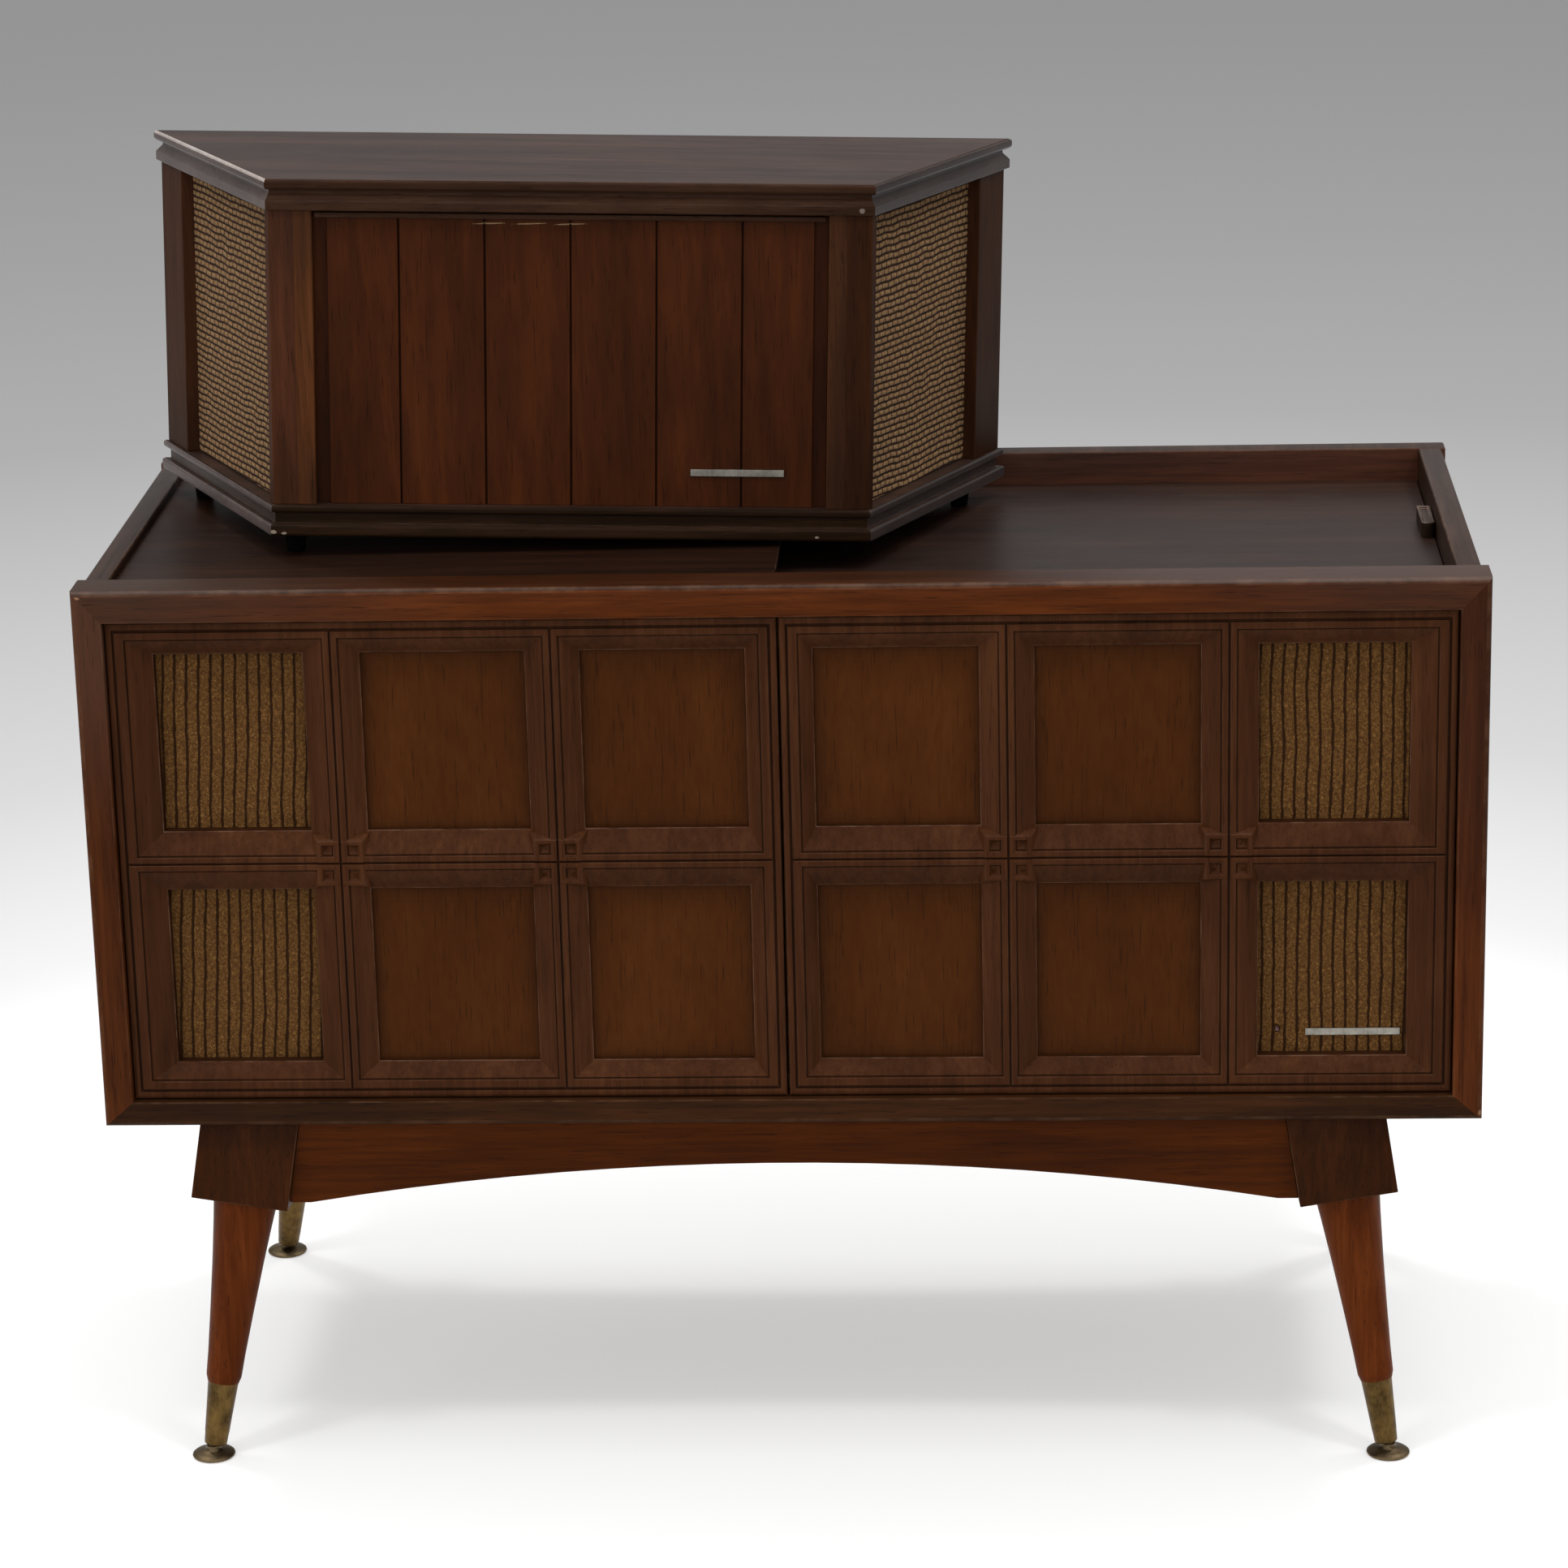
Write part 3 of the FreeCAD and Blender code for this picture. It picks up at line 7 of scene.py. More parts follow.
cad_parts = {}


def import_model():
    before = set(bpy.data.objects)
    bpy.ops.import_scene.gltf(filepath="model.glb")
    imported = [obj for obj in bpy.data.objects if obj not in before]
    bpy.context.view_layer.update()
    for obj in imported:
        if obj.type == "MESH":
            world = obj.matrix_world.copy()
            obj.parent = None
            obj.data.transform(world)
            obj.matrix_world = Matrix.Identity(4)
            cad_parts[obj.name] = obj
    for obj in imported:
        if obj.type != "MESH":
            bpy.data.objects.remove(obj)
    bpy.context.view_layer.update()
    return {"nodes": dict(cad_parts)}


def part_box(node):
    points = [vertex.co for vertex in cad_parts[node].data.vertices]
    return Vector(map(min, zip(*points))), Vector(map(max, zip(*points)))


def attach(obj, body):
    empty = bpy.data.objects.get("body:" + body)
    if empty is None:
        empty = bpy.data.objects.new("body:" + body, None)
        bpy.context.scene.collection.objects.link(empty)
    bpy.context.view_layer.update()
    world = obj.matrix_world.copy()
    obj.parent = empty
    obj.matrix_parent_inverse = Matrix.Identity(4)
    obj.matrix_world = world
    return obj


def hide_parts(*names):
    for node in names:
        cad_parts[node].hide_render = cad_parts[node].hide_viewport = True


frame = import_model()

# The record console with its extension speaker. Lengths are millimetres in the part's frame, unless said.
MM = 0.001
CASE = "case"
SPEAKER = "extension_speaker"
QUARTER = math.radians(90)
UPRIGHT = Matrix.Rotation(QUARTER, 4, "X")
SIGNS = ((-1, -1), (-1, 1), (1, -1), (1, 1))

# The case and the opening in its front frame: left, right, foot and top
CASE_OUTLINE = (-559, 559, 297, 749)
FRAME_OPENING = (-535, 535, 318, 723)
CASE_FRONT, FRAME_BACK = -225, -186

# The grille frames: depths, the lines where the ridges cross, and the true edges of the cells
GRILLE_FRONT, SQUARE_FRONT, GRILLE_BACK = -220, -220.4, -198
WINDOW_EDGE, VENEER_FACE, CLOTH_FACE = -209, -205, -199.5
CELL_COLUMNS = (7.2, 180, 355, 527.4)
CELL_ROWS = (326.6, 520.5, 714.6)
GRILLE_OUTLINE = (1, 534, 319, 722)
TRUE_COLUMNS = (5, 180, 355, 530)
TRUE_ROWS = (323, 520.5, 718)
CELL_WIDTH, CELL_HEIGHT = 175, 197.5
VENEER_WINDOW, WINDOW_HEIGHT = 131, 148
CLOTH_NEAR, CLOTH_FAR = 24, 32

# The base: how far the legs splay, how much longer that makes them, and where their feet stand
BLOCK_HEIGHT = 76
SPLAY = math.radians(8.8)
LEAN = 1 / math.cos(SPLAY) ** 2
FOOT_X, FOOT_Y = 488, 217.3

# The extension speaker, in its own frame, and how it stands on the console's panels
BOX_BACK, BOX_FRONT, BOX_DEPTH, BOX_HEIGHT = 1118 * 0.6467, 487, 243, 292
LIP_FOOT, COVE_FOOT, COVE_TOP = BOX_HEIGHT - 7.6, 10.4, 19.6
BODY_INSET = 4
BOARD_FRONT, BOARD_HALF, REBATE = 10, 206.5, 11.5
POST_RIDGE = 221
CLOTH_RECESS = 11
FRONT_POST, REAR_POST = 9.6, 50.6
BOX_FOOT, FOOT_GAP = 17, 0.3
FEET = ((40 - BOX_BACK / 2, BOX_DEPTH - 34), (BOX_BACK / 2 - 40, BOX_DEPTH - 34), (18 - BOX_FRONT / 2, 24))
BOX_SPOT = (-559 * 0.309, CASE_FRONT + 136.2)
BOX_TURN = math.radians(2.42)
HIGH_PANEL, PANEL_STEP = 742, 21

# The changer and its control panel
PLATTER, PLATTER_TOP = (318, -5), 647
KNOB_X, KNOB_FOOT = 116, 643.3
DIAL_CARD = 641.86


# Finishes


def linear(rgb):
    """A colour written as three 0 to 255 screen values, made linear."""
    out = []
    for value in rgb:
        c = value / 255
        out.append(c / 12.92 if c <= 0.04045 else ((c + 0.055) / 1.055) ** 2.4)
    return (*out, 1)


def scaled(rgb, share):
    """A darker or paler screen colour, made linear."""
    return linear([min(255, value * share) for value in rgb])


class Nodes:
    """A node tree being put together."""

    def __init__(self, owner):
        owner.use_nodes = True
        self.tree = owner.node_tree
        self.tree.nodes.clear()

    def add(self, kind, inputs=None, **settings):
        node = self.tree.nodes.new("ShaderNode" + kind)
        for key, value in settings.items():
            setattr(node, key, value)
        for key, value in (inputs or {}).items():
            self.feed(node.inputs[key], value)
        return node

    def join(self, a, b):
        self.tree.links.new(a, b)

    def feed(self, socket, value):
        if isinstance(value, bpy.types.NodeSocket):
            self.join(value, socket)
        else:
            socket.default_value = value


class Finish(Nodes):
    """A finish being mixed for one kind of surface."""

    def __init__(self, name):
        self.material = bpy.data.materials.new(name)
        super().__init__(self.material)
        self.output = self.add("OutputMaterial")
        self.shader = self.add("BsdfPrincipled")
        self.join(self.shader.outputs["BSDF"], self.output.inputs["Surface"])

    def place(self, scale=(1, 1, 1), turn=(0, 0, 0)):
        where = self.add("TexCoord").outputs["Object"]
        mapping = self.add("Mapping", {"Vector": where, "Scale": scale, "Rotation": turn})
        return mapping.outputs["Vector"]

    def cloud(self, scale, detail, rough, where=None, colour=False):
        inputs = {"Vector": where or self.place(), "Scale": scale, "Detail": detail, "Roughness": rough}
        return self.add("TexNoise", inputs).outputs["Color" if colour else "Fac"]

    def ramp(self, fac, stops):
        node = self.add("ValToRGB", {"Fac": fac})
        ends = node.color_ramp.elements
        while len(ends) < len(stops):
            ends.new(0.5)
        for end, (at, colour) in zip(ends, stops):
            end.position = at
            end.color = linear(colour)
        return node.outputs["Color"]

    def span(self, fac, low, high, out_low=0.0, out_high=1.0):
        inputs = {0: fac, 1: low, 2: high, 3: out_low, 4: out_high}
        return self.add("MapRange", inputs, interpolation_type="SMOOTHSTEP").outputs["Result"]

    def maths(self, kind, a, b=0.5, c=0.5):
        return self.add("Math", {0: a, 1: b, 2: c}, operation=kind).outputs["Value"]

    def times(self, a, b, plus=0.0):
        return self.maths("MULTIPLY_ADD", a, b, plus)

    def off_middle(self, value):
        """How far a value lies from the middle of its whole step."""
        return self.maths("ABSOLUTE", self.maths("SUBTRACT", self.maths("FRACT", value), 0.5))

    def mix(self, fac, a, b, how="MIX"):
        return self.add("Mix", {0: fac, 6: a, 7: b}, data_type="RGBA", blend_type=how).outputs[2]

    def axes(self, source="Object"):
        where = self.add("TexCoord").outputs[source]
        return self.add("SeparateXYZ", {0: where}).outputs

    def mark(self, name, share):
        fac = self.add("Attribute", attribute_name=name).outputs["Fac"]
        return self.times(fac, share)

    def bump(self, height, depth):
        node = self.add("Bump", {"Height": height, "Distance": depth, "Strength": 1})
        self.join(node.outputs["Normal"], self.shader.inputs["Normal"])

    def surface(self, colour, rough, specular=0.5, metal=0.0, coat=0.0, sheen=0.0):
        for name, value in (
                ("Base Color", colour), ("Roughness", rough), ("Specular IOR Level", specular),
                ("Metallic", metal), ("Coat Weight", coat), ("Coat Roughness", 0.2), ("Sheen Weight", sheen),
                ("Sheen Roughness", 0.35), ("Sheen Tint", linear((246, 236, 238)))):
            self.feed(self.shader.inputs[name], value)
        return self.material


def along_grain(grain, share):
    """A scale that draws a pattern out along the grain's axis."""
    return tuple(share if axis == grain else 1 for axis in "xyz")


def wood(name, tones, grain="x", rough=0.42, specular=0.05, worn_and_glint=(150, 112, 84), sheen=0.0,
         figure=26, drawn=0.055, fades=(), chips_and_glints=()):
    """A stained, lacquered board: figure, streaks, pores, blotches; pale arrises and chips from one mark,
    partly wear and partly painted highlight and reflection; painted shade from the shade mark; and painted
    sheen and shade along an axis.
    """
    f = Finish(name)
    straight = f.place(along_grain(grain, drawn))
    wander = f.cloud(7, 2, 0.5, straight, True)
    sway = {0: wander, 1: [0.05 * share for share in along_grain(grain, 0.4)], 2: straight}
    bent = f.add("VectorMath", sway, operation="MULTIPLY_ADD").outputs[0]
    bands = f.cloud(figure, 5, 0.62, bent)
    streaks = f.cloud(figure * 8, 4, 0.6, bent)
    pores = f.cloud(900, 2, 0.6, f.place(along_grain(grain, 0.035)))
    heart = f.times(bands, 0.62, f.times(streaks, 0.38))
    dark, middle, light = tones
    colour = f.ramp(heart, [(0.30, dark), (0.5, middle), (0.70, light)])
    blotch = f.ramp(f.cloud(5, 3, 0.55), [(0.3, (222, 217, 214)), (0.7, (255, 252, 248))])
    colour = f.mix(1.0, colour, blotch, "MULTIPLY")
    # Each fade draws the colour towards a tone along one axis; the fades used below are painted sheen and
    # painted shade.
    for axis, low, high, tone, strength in fades:
        where = f.span(f.axes()["XYZ".index(axis)], low, high, 0.0, strength)
        colour = f.mix(where, colour, f.mix(0.6, colour, linear(tone)))
    open_grain = f.span(pores, 0.60, 0.70)
    colour = f.mix(f.times(open_grain, 0.55), colour, scaled(dark, 0.45))
    # Pale arrises in patches: wear, and painted highlight and reflection where a wood's pale colour is
    # grey-lavender.
    wear_and_glint_patches = f.span(f.cloud(46, 4, 0.65), 0.36, 0.72, 0.05, 0.85)
    colour = f.mix(f.mark("worn_and_glint", wear_and_glint_patches), colour, linear(worn_and_glint))
    # Painted shade in grooves, rebates, recesses and gaps, from the shade mark.
    colour = f.mix(f.mark("shade", 0.62), colour, scaled(dark, 0.4))
    # Chips: pale spots at given places, partly wear and partly painted glints and highlights on corners and
    # arrises.
    if chips_and_glints:
        x, _, z = f.axes()
        ragged_edge = f.cloud(520, 3, 0.7)
    for at_x, at_z, half_x, half_z in chips_and_glints:
        far_x = f.maths("DIVIDE", f.maths("SUBTRACT", x, at_x * MM), half_x * MM)
        far_z = f.maths("DIVIDE", f.maths("SUBTRACT", z, at_z * MM), half_z * MM)
        reach = f.maths("ADD", f.times(far_x, far_x), f.times(far_z, far_z))
        colour = f.mix(f.span(f.times(ragged_edge, 1.3, reach), 1.35, 0.9), colour, linear(worn_and_glint))
    gloss = f.times(f.cloud(14, 4, 0.6), 0.16, rough - 0.08)
    relief = f.maths("SUBTRACT", f.times(streaks, 0.3), f.times(open_grain, 0.7))
    f.bump(relief, 0.00012)
    return f.surface(colour, gloss, specular, sheen=sheen)


def plain(name, tones, rough, scale=60, specular=0.5, relief=0.00005, speck=None, coat=0.0):
    """A moulded, painted, cast or pressed surface with mottling, a fine relief and uneven gloss."""
    f = Finish(name)
    low, high = tones
    colour = f.ramp(f.cloud(scale, 4, 0.6), [(0.32, low), (0.68, high)])
    if speck:
        fine = f.cloud(scale * 14, 2, 0.5)
        colour = f.mix(f.span(fine, 0.58, 0.72, 0, 0.7), colour, linear(speck))
    colour = f.mix(f.mark("worn_and_glint", 0.5), colour, scaled(high, 1.5))
    colour = f.mix(f.mark("shade", 0.7), colour, scaled(low, 0.35))
    f.bump(f.cloud(scale * 9, 3, 0.6), relief)
    gloss = f.times(f.cloud(scale * 0.6, 3, 0.6), 0.2, rough - 0.1)
    return f.surface(colour, gloss, specular, coat=coat)


def brushed(name, tones, rough, turn=(0, 0, 0)):
    """Metal drawn or brushed one way, with tarnish in patches."""
    f = Finish(name)
    lines = f.cloud(1400, 2, 0.6, f.place((1, 1, 0.02), turn))
    tarnish = f.cloud(60, 5, 0.68)
    low, high = tones
    colour = f.ramp(tarnish, [(0.34, low), (0.66, high)])
    colour = f.mix(0.25, colour, f.ramp(lines, [(0.3, low), (0.7, high)]))
    colour = f.mix(f.mark("shade", 0.75), colour, scaled(low, 0.4))
    f.bump(lines, 0.00002)
    gloss = f.times(tarnish, 0.3, rough - 0.15)
    return f.surface(colour, gloss, 0.5, 1.0)


def clear_glass(name, tint, rough):
    """Glass with a faint smear."""
    f = Finish(name)
    smear = f.cloud(40, 3, 0.6)
    f.shader.inputs["Transmission Weight"].default_value = 1.0
    f.shader.inputs["IOR"].default_value = 1.45
    return f.surface(linear(tint), f.times(smear, 0.08, rough))


# Woods of the case
RAIL_TONES = ((62, 28, 9), (94, 46, 16), (120, 62, 24))
APRON_TONES = ((61, 28, 8), (86, 41, 11), (108, 54, 16))
TOP_WEAR = (128, 104, 96)
# Copies of one walnut tuned to the light on each member: the left stile paler towards the top as painted
# sheen, the right stile darker towards the top as painted shade, the top rail greyer towards both ends as
# painted sheen, and the rail's upward faces grey-lavender towards both ends as painted reflection.
frame_woods = [
    wood("walnut_rail", RAIL_TONES, specular=0.06,
         fades=(("X", -0.2, -0.55, (66, 54, 46), 0.85), ("X", 0.25, 0.5, (54, 42, 36), 0.9)),
         # The rail's pale marks at its top corners are painted glints on the rounded corners; those along
         # its top arris are painted highlight.
         chips_and_glints=((-554, 744, 4, 1.6), (556.5, 743, 1.4, 5), (-118, 747.5, 14, 0.8), (212, 747.8, 22, 0.7))),
    wood("walnut_stile", ((60, 30, 14), (88, 46, 21), (112, 60, 28)), "z",
         fades=(("Z", 0.52, 0.72, (88, 64, 52), 0.85),)),
    wood("walnut_low_rail", ((38, 22, 11), (58, 34, 18), (78, 46, 24))),
    wood("walnut_right_stile", ((68, 33, 16), (98, 51, 24), (124, 67, 32)), "z",
         fades=(("Z", 0.42, 0.62, (32, 23, 20), 0.95),), chips_and_glints=((557, 303, 2.2, 3),)),
    wood("walnut_rail_top", ((38, 17, 6), (56, 27, 9), (74, 39, 16)), "x", 0.38, 0.2,
         fades=(("X", -0.25, -0.55, (76, 60, 52), 0.85), ("X", 0.1, 0.36, (88, 73, 68), 0.95)))]
side_wood = wood("walnut_side", RAIL_TONES, "y", 0.38, 0.2)
# The gallery's inner faces: a darker copy of the walnut, painted shade.
shaded_gallery_wood = wood("walnut_gallery_painted_shade", ((30, 18, 12), (44, 28, 20), (58, 39, 29)), "y", specular=0.1)
# The rims' tops: a greyer copy of the walnut, painted sheen.
sheen_rim_wood = wood("walnut_rim_painted_sheen", ((38, 25, 18), (58, 39, 30), (78, 54, 43)), "y", 0.4, 0.42)
back_rail_wood = wood("walnut_back_rail", ((54, 30, 20), (76, 45, 32), (98, 58, 41)), specular=0.12)
top_wood = wood("walnut_top", ((30, 18, 13), (46, 28, 20), (60, 37, 26)), "x", 0.4, 0.5, TOP_WEAR)
# The left top panel under the speaker: a darker copy of the top's walnut, painted shade.
shaded_left_top_wood = wood("walnut_left_top_painted_shade", ((28, 15, 9), (43, 25, 16), (58, 34, 22)), "x", 0.4, 0.17, TOP_WEAR)
moulding_wood = wood("dark_moulding", ((60, 34, 18), (78, 45, 25), (94, 57, 34)), "z", worn_and_glint=(118, 88, 70))
veneer_wood = wood("veneer_panel", ((76, 39, 13), (84, 45, 16), (92, 51, 20)), "z", figure=22, drawn=0.3)
leg_wood = wood("leg_walnut", ((80, 35, 10), (108, 52, 19), (134, 70, 30)), "z")
apron_wood = wood("apron_walnut", APRON_TONES)
side_rail_wood = wood("side_rail_walnut", APRON_TONES, "y", specular=0.2)
block_wood = wood("block_walnut", ((46, 23, 8), (62, 32, 12), (80, 42, 17)), "z")
pull_wood = wood("pull_walnut", ((40, 28, 22), (60, 44, 37), (82, 62, 52)), "y", 0.35, 0.4, (140, 118, 106))
# The pull's sides and front: a darker copy of its walnut, painted shade.
shaded_pull_side_wood = wood("pull_side_walnut_painted_shade", ((26, 18, 13), (38, 27, 20), (50, 37, 28)), "y")
inner_wood = wood("inner_board", ((120, 88, 56), (146, 110, 74), (168, 130, 90)), "x", 0.7, 0.25)
inner_upright = wood("inner_upright", ((112, 82, 52), (138, 104, 70), (160, 124, 86)), "z", 0.7)

# Woods of the extension speaker
# The speaker's pale arris colours are grey-lavender: wear, and painted reflection on the arrises. The chips
# are pale marks on arrises and the lip, partly wear and partly painted highlight.
speaker_top_wood = wood(
    "speaker_top", ((34, 20, 15), (56, 37, 29), (80, 54, 43)), specular=0.4, worn_and_glint=(150, 130, 126))
speaker_base_wood = wood(
    "speaker_base", ((28, 17, 9), (43, 28, 17), (60, 40, 26)), worn_and_glint=(148, 134, 118),
    chips_and_glints=((-413.6, 764, 3.4, 2.2), (-405, 762.8, 3, 1.6), (26.7, 749.5, 2.2, 1.3)))
speaker_band_wood = wood(
    "speaker_band", ((38, 23, 15), (54, 34, 22), (70, 47, 33)), worn_and_glint=(118, 104, 98),
    chips_and_glints=((-185, 1048.4, 20, 0.8), (68.2, 1015.4, 3.0, 3.0)))
board_wood = wood(
    "speaker_boards", ((52, 25, 11), (70, 34, 14), (88, 44, 18)), "z", figure=12, drawn=0.13,
    worn_and_glint=(142, 116, 84), chips_and_glints=((-230, 1010.6, 17, 0.8), (-197, 1009.6, 18, 0.7), (-165, 1008.5, 17, 0.8)))
# Copies of the moulding wood for the slanted sides: grey-lavender on the left as painted sheen, paler on the
# left lip's arris as painted highlight, darker on the right as painted shade, and less pale in the left cove
# as painted sheen.
painted_light_side_woods = [wood("speaker_" + name, tones, "y", *looks) for name, tones, *looks in (
    ("left_band", ((58, 46, 42), (78, 64, 59), (98, 83, 78)), 0.36, 0.5, (160, 150, 146), 0.25),
    ("right_band", ((34, 23, 19), (48, 35, 30), (64, 49, 43)), 0.36, 0.45, (126, 114, 108), 0.12),
    ("pale_arris", ((146, 134, 128), (168, 158, 152), (188, 180, 176)), 0.36, 0.5, (196, 188, 184), 0.4),
    ("left_cove", ((44, 32, 25), (60, 45, 37), (76, 59, 50)), 0.4, 0.4, (120, 106, 98), 0.12))]
# The posts in four copies of one wood, lighter and darker by side as painted light: lit on the left's outer
# half, lit more on its inner half, shaded on the right's outer half and on the right rear post.
POST_WEAR = (140, 104, 66)
# POST_FADES darken the posts near the base and under the top moulding: painted shade.
POST_FADES = (("Z", 0.86, 0.79, (38, 23, 13), 0.8), ("Z", 0.94, 1.01, (44, 28, 19), 0.8))
lit_and_shaded_post_woods = [wood("speaker_" + name, tones, "z", worn_and_glint=worn_and_glint, fades=fades) for name, tones, worn_and_glint, fades in (
    ("post", ((46, 26, 15), (62, 36, 21), (78, 46, 27)), POST_WEAR, POST_FADES[:1]),
    ("lit_post", ((56, 31, 19), (78, 44, 28), (98, 57, 36)), POST_WEAR, POST_FADES),
    ("shaded_post", ((40, 21, 9), (55, 29, 13), (70, 38, 18)), (120, 88, 60), POST_FADES[:1]),
    ("lit_inner_post", ((68, 39, 20), (96, 56, 30), (120, 72, 40)), POST_WEAR, POST_FADES))]

# Boards, metals, enamels, plastics and glass
hardboard = plain("hardboard", ((58, 40, 28), (78, 55, 38)), 0.75, 90, 0.2, 0.0001, speck=(104, 78, 54))
enamel = plain("enamel", ((196, 188, 168), (212, 205, 186)), 0.4, 40, relief=0.00003)
deck_enamel = plain("deck_enamel", ((70, 60, 50), (84, 72, 60)), 0.45, relief=0.00004)
arm_enamel = plain("arm_enamel", ((172, 164, 144), (192, 184, 162)), 0.35, 30, relief=0.00002)
iron_black = plain("iron_black", ((30, 29, 28), (48, 46, 44)), 0.5, 80, relief=0.00006)
rubber = plain("mat_rubber", ((20, 19, 18), (34, 32, 30)), 0.7, 120, 0.3, 0.00008)
cone_paper = plain("paper_cone", ((34, 31, 28), (52, 47, 42)), 0.9, 160, 0.15, 0.0003)
knob_plastic = plain("knob_plastic", ((40, 28, 20), (58, 42, 31)), 0.35, 30)
# Felt for the speaker's feet, near black: darkened further as painted shade under the speaker.
shaded_felt = plain("shaded_felt", ((7, 6, 6), (12, 11, 10)), 0.95, 200, 0.02, 0.0003)
dial_paint = plain("dial_paint", ((30, 24, 18), (42, 34, 26)), 0.5, 30, relief=0.00001)
dial_ink = plain("dial_ink", ((206, 180, 118), (224, 198, 136)), 0.5, relief=0.00001)
pointer_red = plain("pointer_red", ((170, 40, 26), (190, 52, 34)), 0.4, relief=0.00001)
ruby = plain("ruby_glass", ((46, 8, 6), (76, 14, 10)), 0.12, 300, relief=0.00001, coat=0.6)
brass = brushed("aged_brass", ((52, 39, 22), (122, 96, 54)), 0.42)
glide_metal = brushed("glide_brass", ((72, 60, 45), (140, 120, 90)), 0.45)
steel = brushed("steel", ((120, 120, 118), (176, 176, 172)), 0.4)
platter_metal = brushed("platter_metal", ((96, 94, 90), (150, 147, 141)), 0.45)
bright_trim = brushed("bright_trim", ((120, 116, 108), (176, 171, 160)), 0.32, (0, QUARTER, 0))
panel_metal = brushed("panel_metal", ((142, 126, 92), (160, 143, 108)), 0.38, (QUARTER, 0, 0))
glass = clear_glass("clear_glass", (250, 250, 246), 0.03)
valve_glass = clear_glass("valve_glass", (226, 228, 226), 0.05)


# Shaping


def shifted(x, y, z):
    """A move by some millimetres."""
    return Matrix.Translation(Vector((x, y, z)) * MM)


def turned(bm, matrix):
    bmesh.ops.transform(bm, matrix=matrix, verts=bm.verts)


def placed_box(bm, x, y, z):
    """A box between two values on each axis, in millimetres."""
    made = bmesh.ops.create_cube(bm, size=1)["verts"]
    bmesh.ops.scale(bm, vec=Vector([high - low for low, high in (x, y, z)]) * MM, verts=made)
    bmesh.ops.translate(bm, vec=Vector([low + high for low, high in (x, y, z)]) * MM / 2, verts=made)


def layer(bm, name):
    return bm.faces.layers.float.get(name) or bm.faces.layers.float.new(name)


def rounded(bm, edges, width, segments=2, worn_and_glint=1.0):
    """Rounds some edges, in millimetres, and gives the rounding the pale arris mark: wear, and painted
    highlight in some woods.
    """
    mark = layer(bm, "worn_and_glint")
    made = bmesh.ops.bevel(bm, geom=list(edges), offset=width * MM, offset_type="OFFSET", affect="EDGES",
                           segments=segments, profile=0.5, clamp_overlap=True, material=-1)
    for face in made["faces"]:
        face[mark] = worn_and_glint


def sharp_edges(bm, angle):
    limit = math.radians(angle)
    return [e for e in bm.edges if len(e.link_faces) == 2 and e.calc_face_angle(0) > limit]


def mesh_of(name, bm):
    """A mesh made of a bmesh, which is freed."""
    mesh = bpy.data.meshes.new(name)
    bm.to_mesh(mesh)
    bm.free()
    return mesh


def linked(name, data):
    """A new object in the scene."""
    made = bpy.data.objects.new(name, data)
    bpy.context.scene.collection.objects.link(made)
    return made


def joined(bm, other):
    """Adds one bmesh to another and frees it."""
    mesh = mesh_of("joined", other)
    bm.from_mesh(mesh)
    bpy.data.meshes.remove(mesh)


def piece(name, bm, body, slot, materials, node=None, angle=21, turn=None):
    """Makes a finished piece of a bmesh and sets it on its body, in the place of a CAD piece."""
    if turn:
        turned(bm, turn)
    bm.normal_update()
    mesh = mesh_of(name, bm)
    for face in mesh.polygons:
        face.use_smooth = True
    mesh.set_sharp_from_angle(angle=math.radians(angle))
    for material in materials if isinstance(materials, list) else [materials]:
        mesh.materials.append(material)
    made = linked(name, mesh)
    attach(made, body)
    if node:
        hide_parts(node)
    return made


def node_copy(node):
    """The merged faces of a CAD piece, ready to be worked on."""
    bm = bmesh.new()
    bm.from_mesh(frame["nodes"][node].data)
    bmesh.ops.remove_doubles(bm, verts=bm.verts, dist=0.00001)
    bmesh.ops.dissolve_limit(bm, angle_limit=math.radians(0.6), verts=bm.verts, edges=bm.edges)
    return bm


def eased(node, body, slot, materials, width=0.8, segments=2, angle=30, choose=None, worn_and_glint=0.3,
          dim=None, partings=()):
    """A CAD piece with its arrises eased, in the place of that piece."""
    bm = node_copy(node)
    for point, normal in partings:
        everything = bm.verts[:] + bm.edges[:] + bm.faces[:]
        bmesh.ops.bisect_plane(bm, geom=everything, plane_co=point, plane_no=normal)
    rounded(bm, sharp_edges(bm, angle), width, segments, worn_and_glint)
    if choose:
        for face in bm.faces:
            face.material_index = choose(face)
    if dim:
        shade = layer(bm, "shade")
        for face in bm.faces:
            face[shade] = dim(face)
    piece(node + "_board", bm, body, slot, materials, node)


def dressed(material, *nodes):
    """Gives CAD pieces that keep their own shape a finish."""
    for node in nodes:
        data = frame["nodes"][node]
        for held in data.material_slots:
            held.material = material
        if not data.material_slots:
            data.data.materials.append(material)


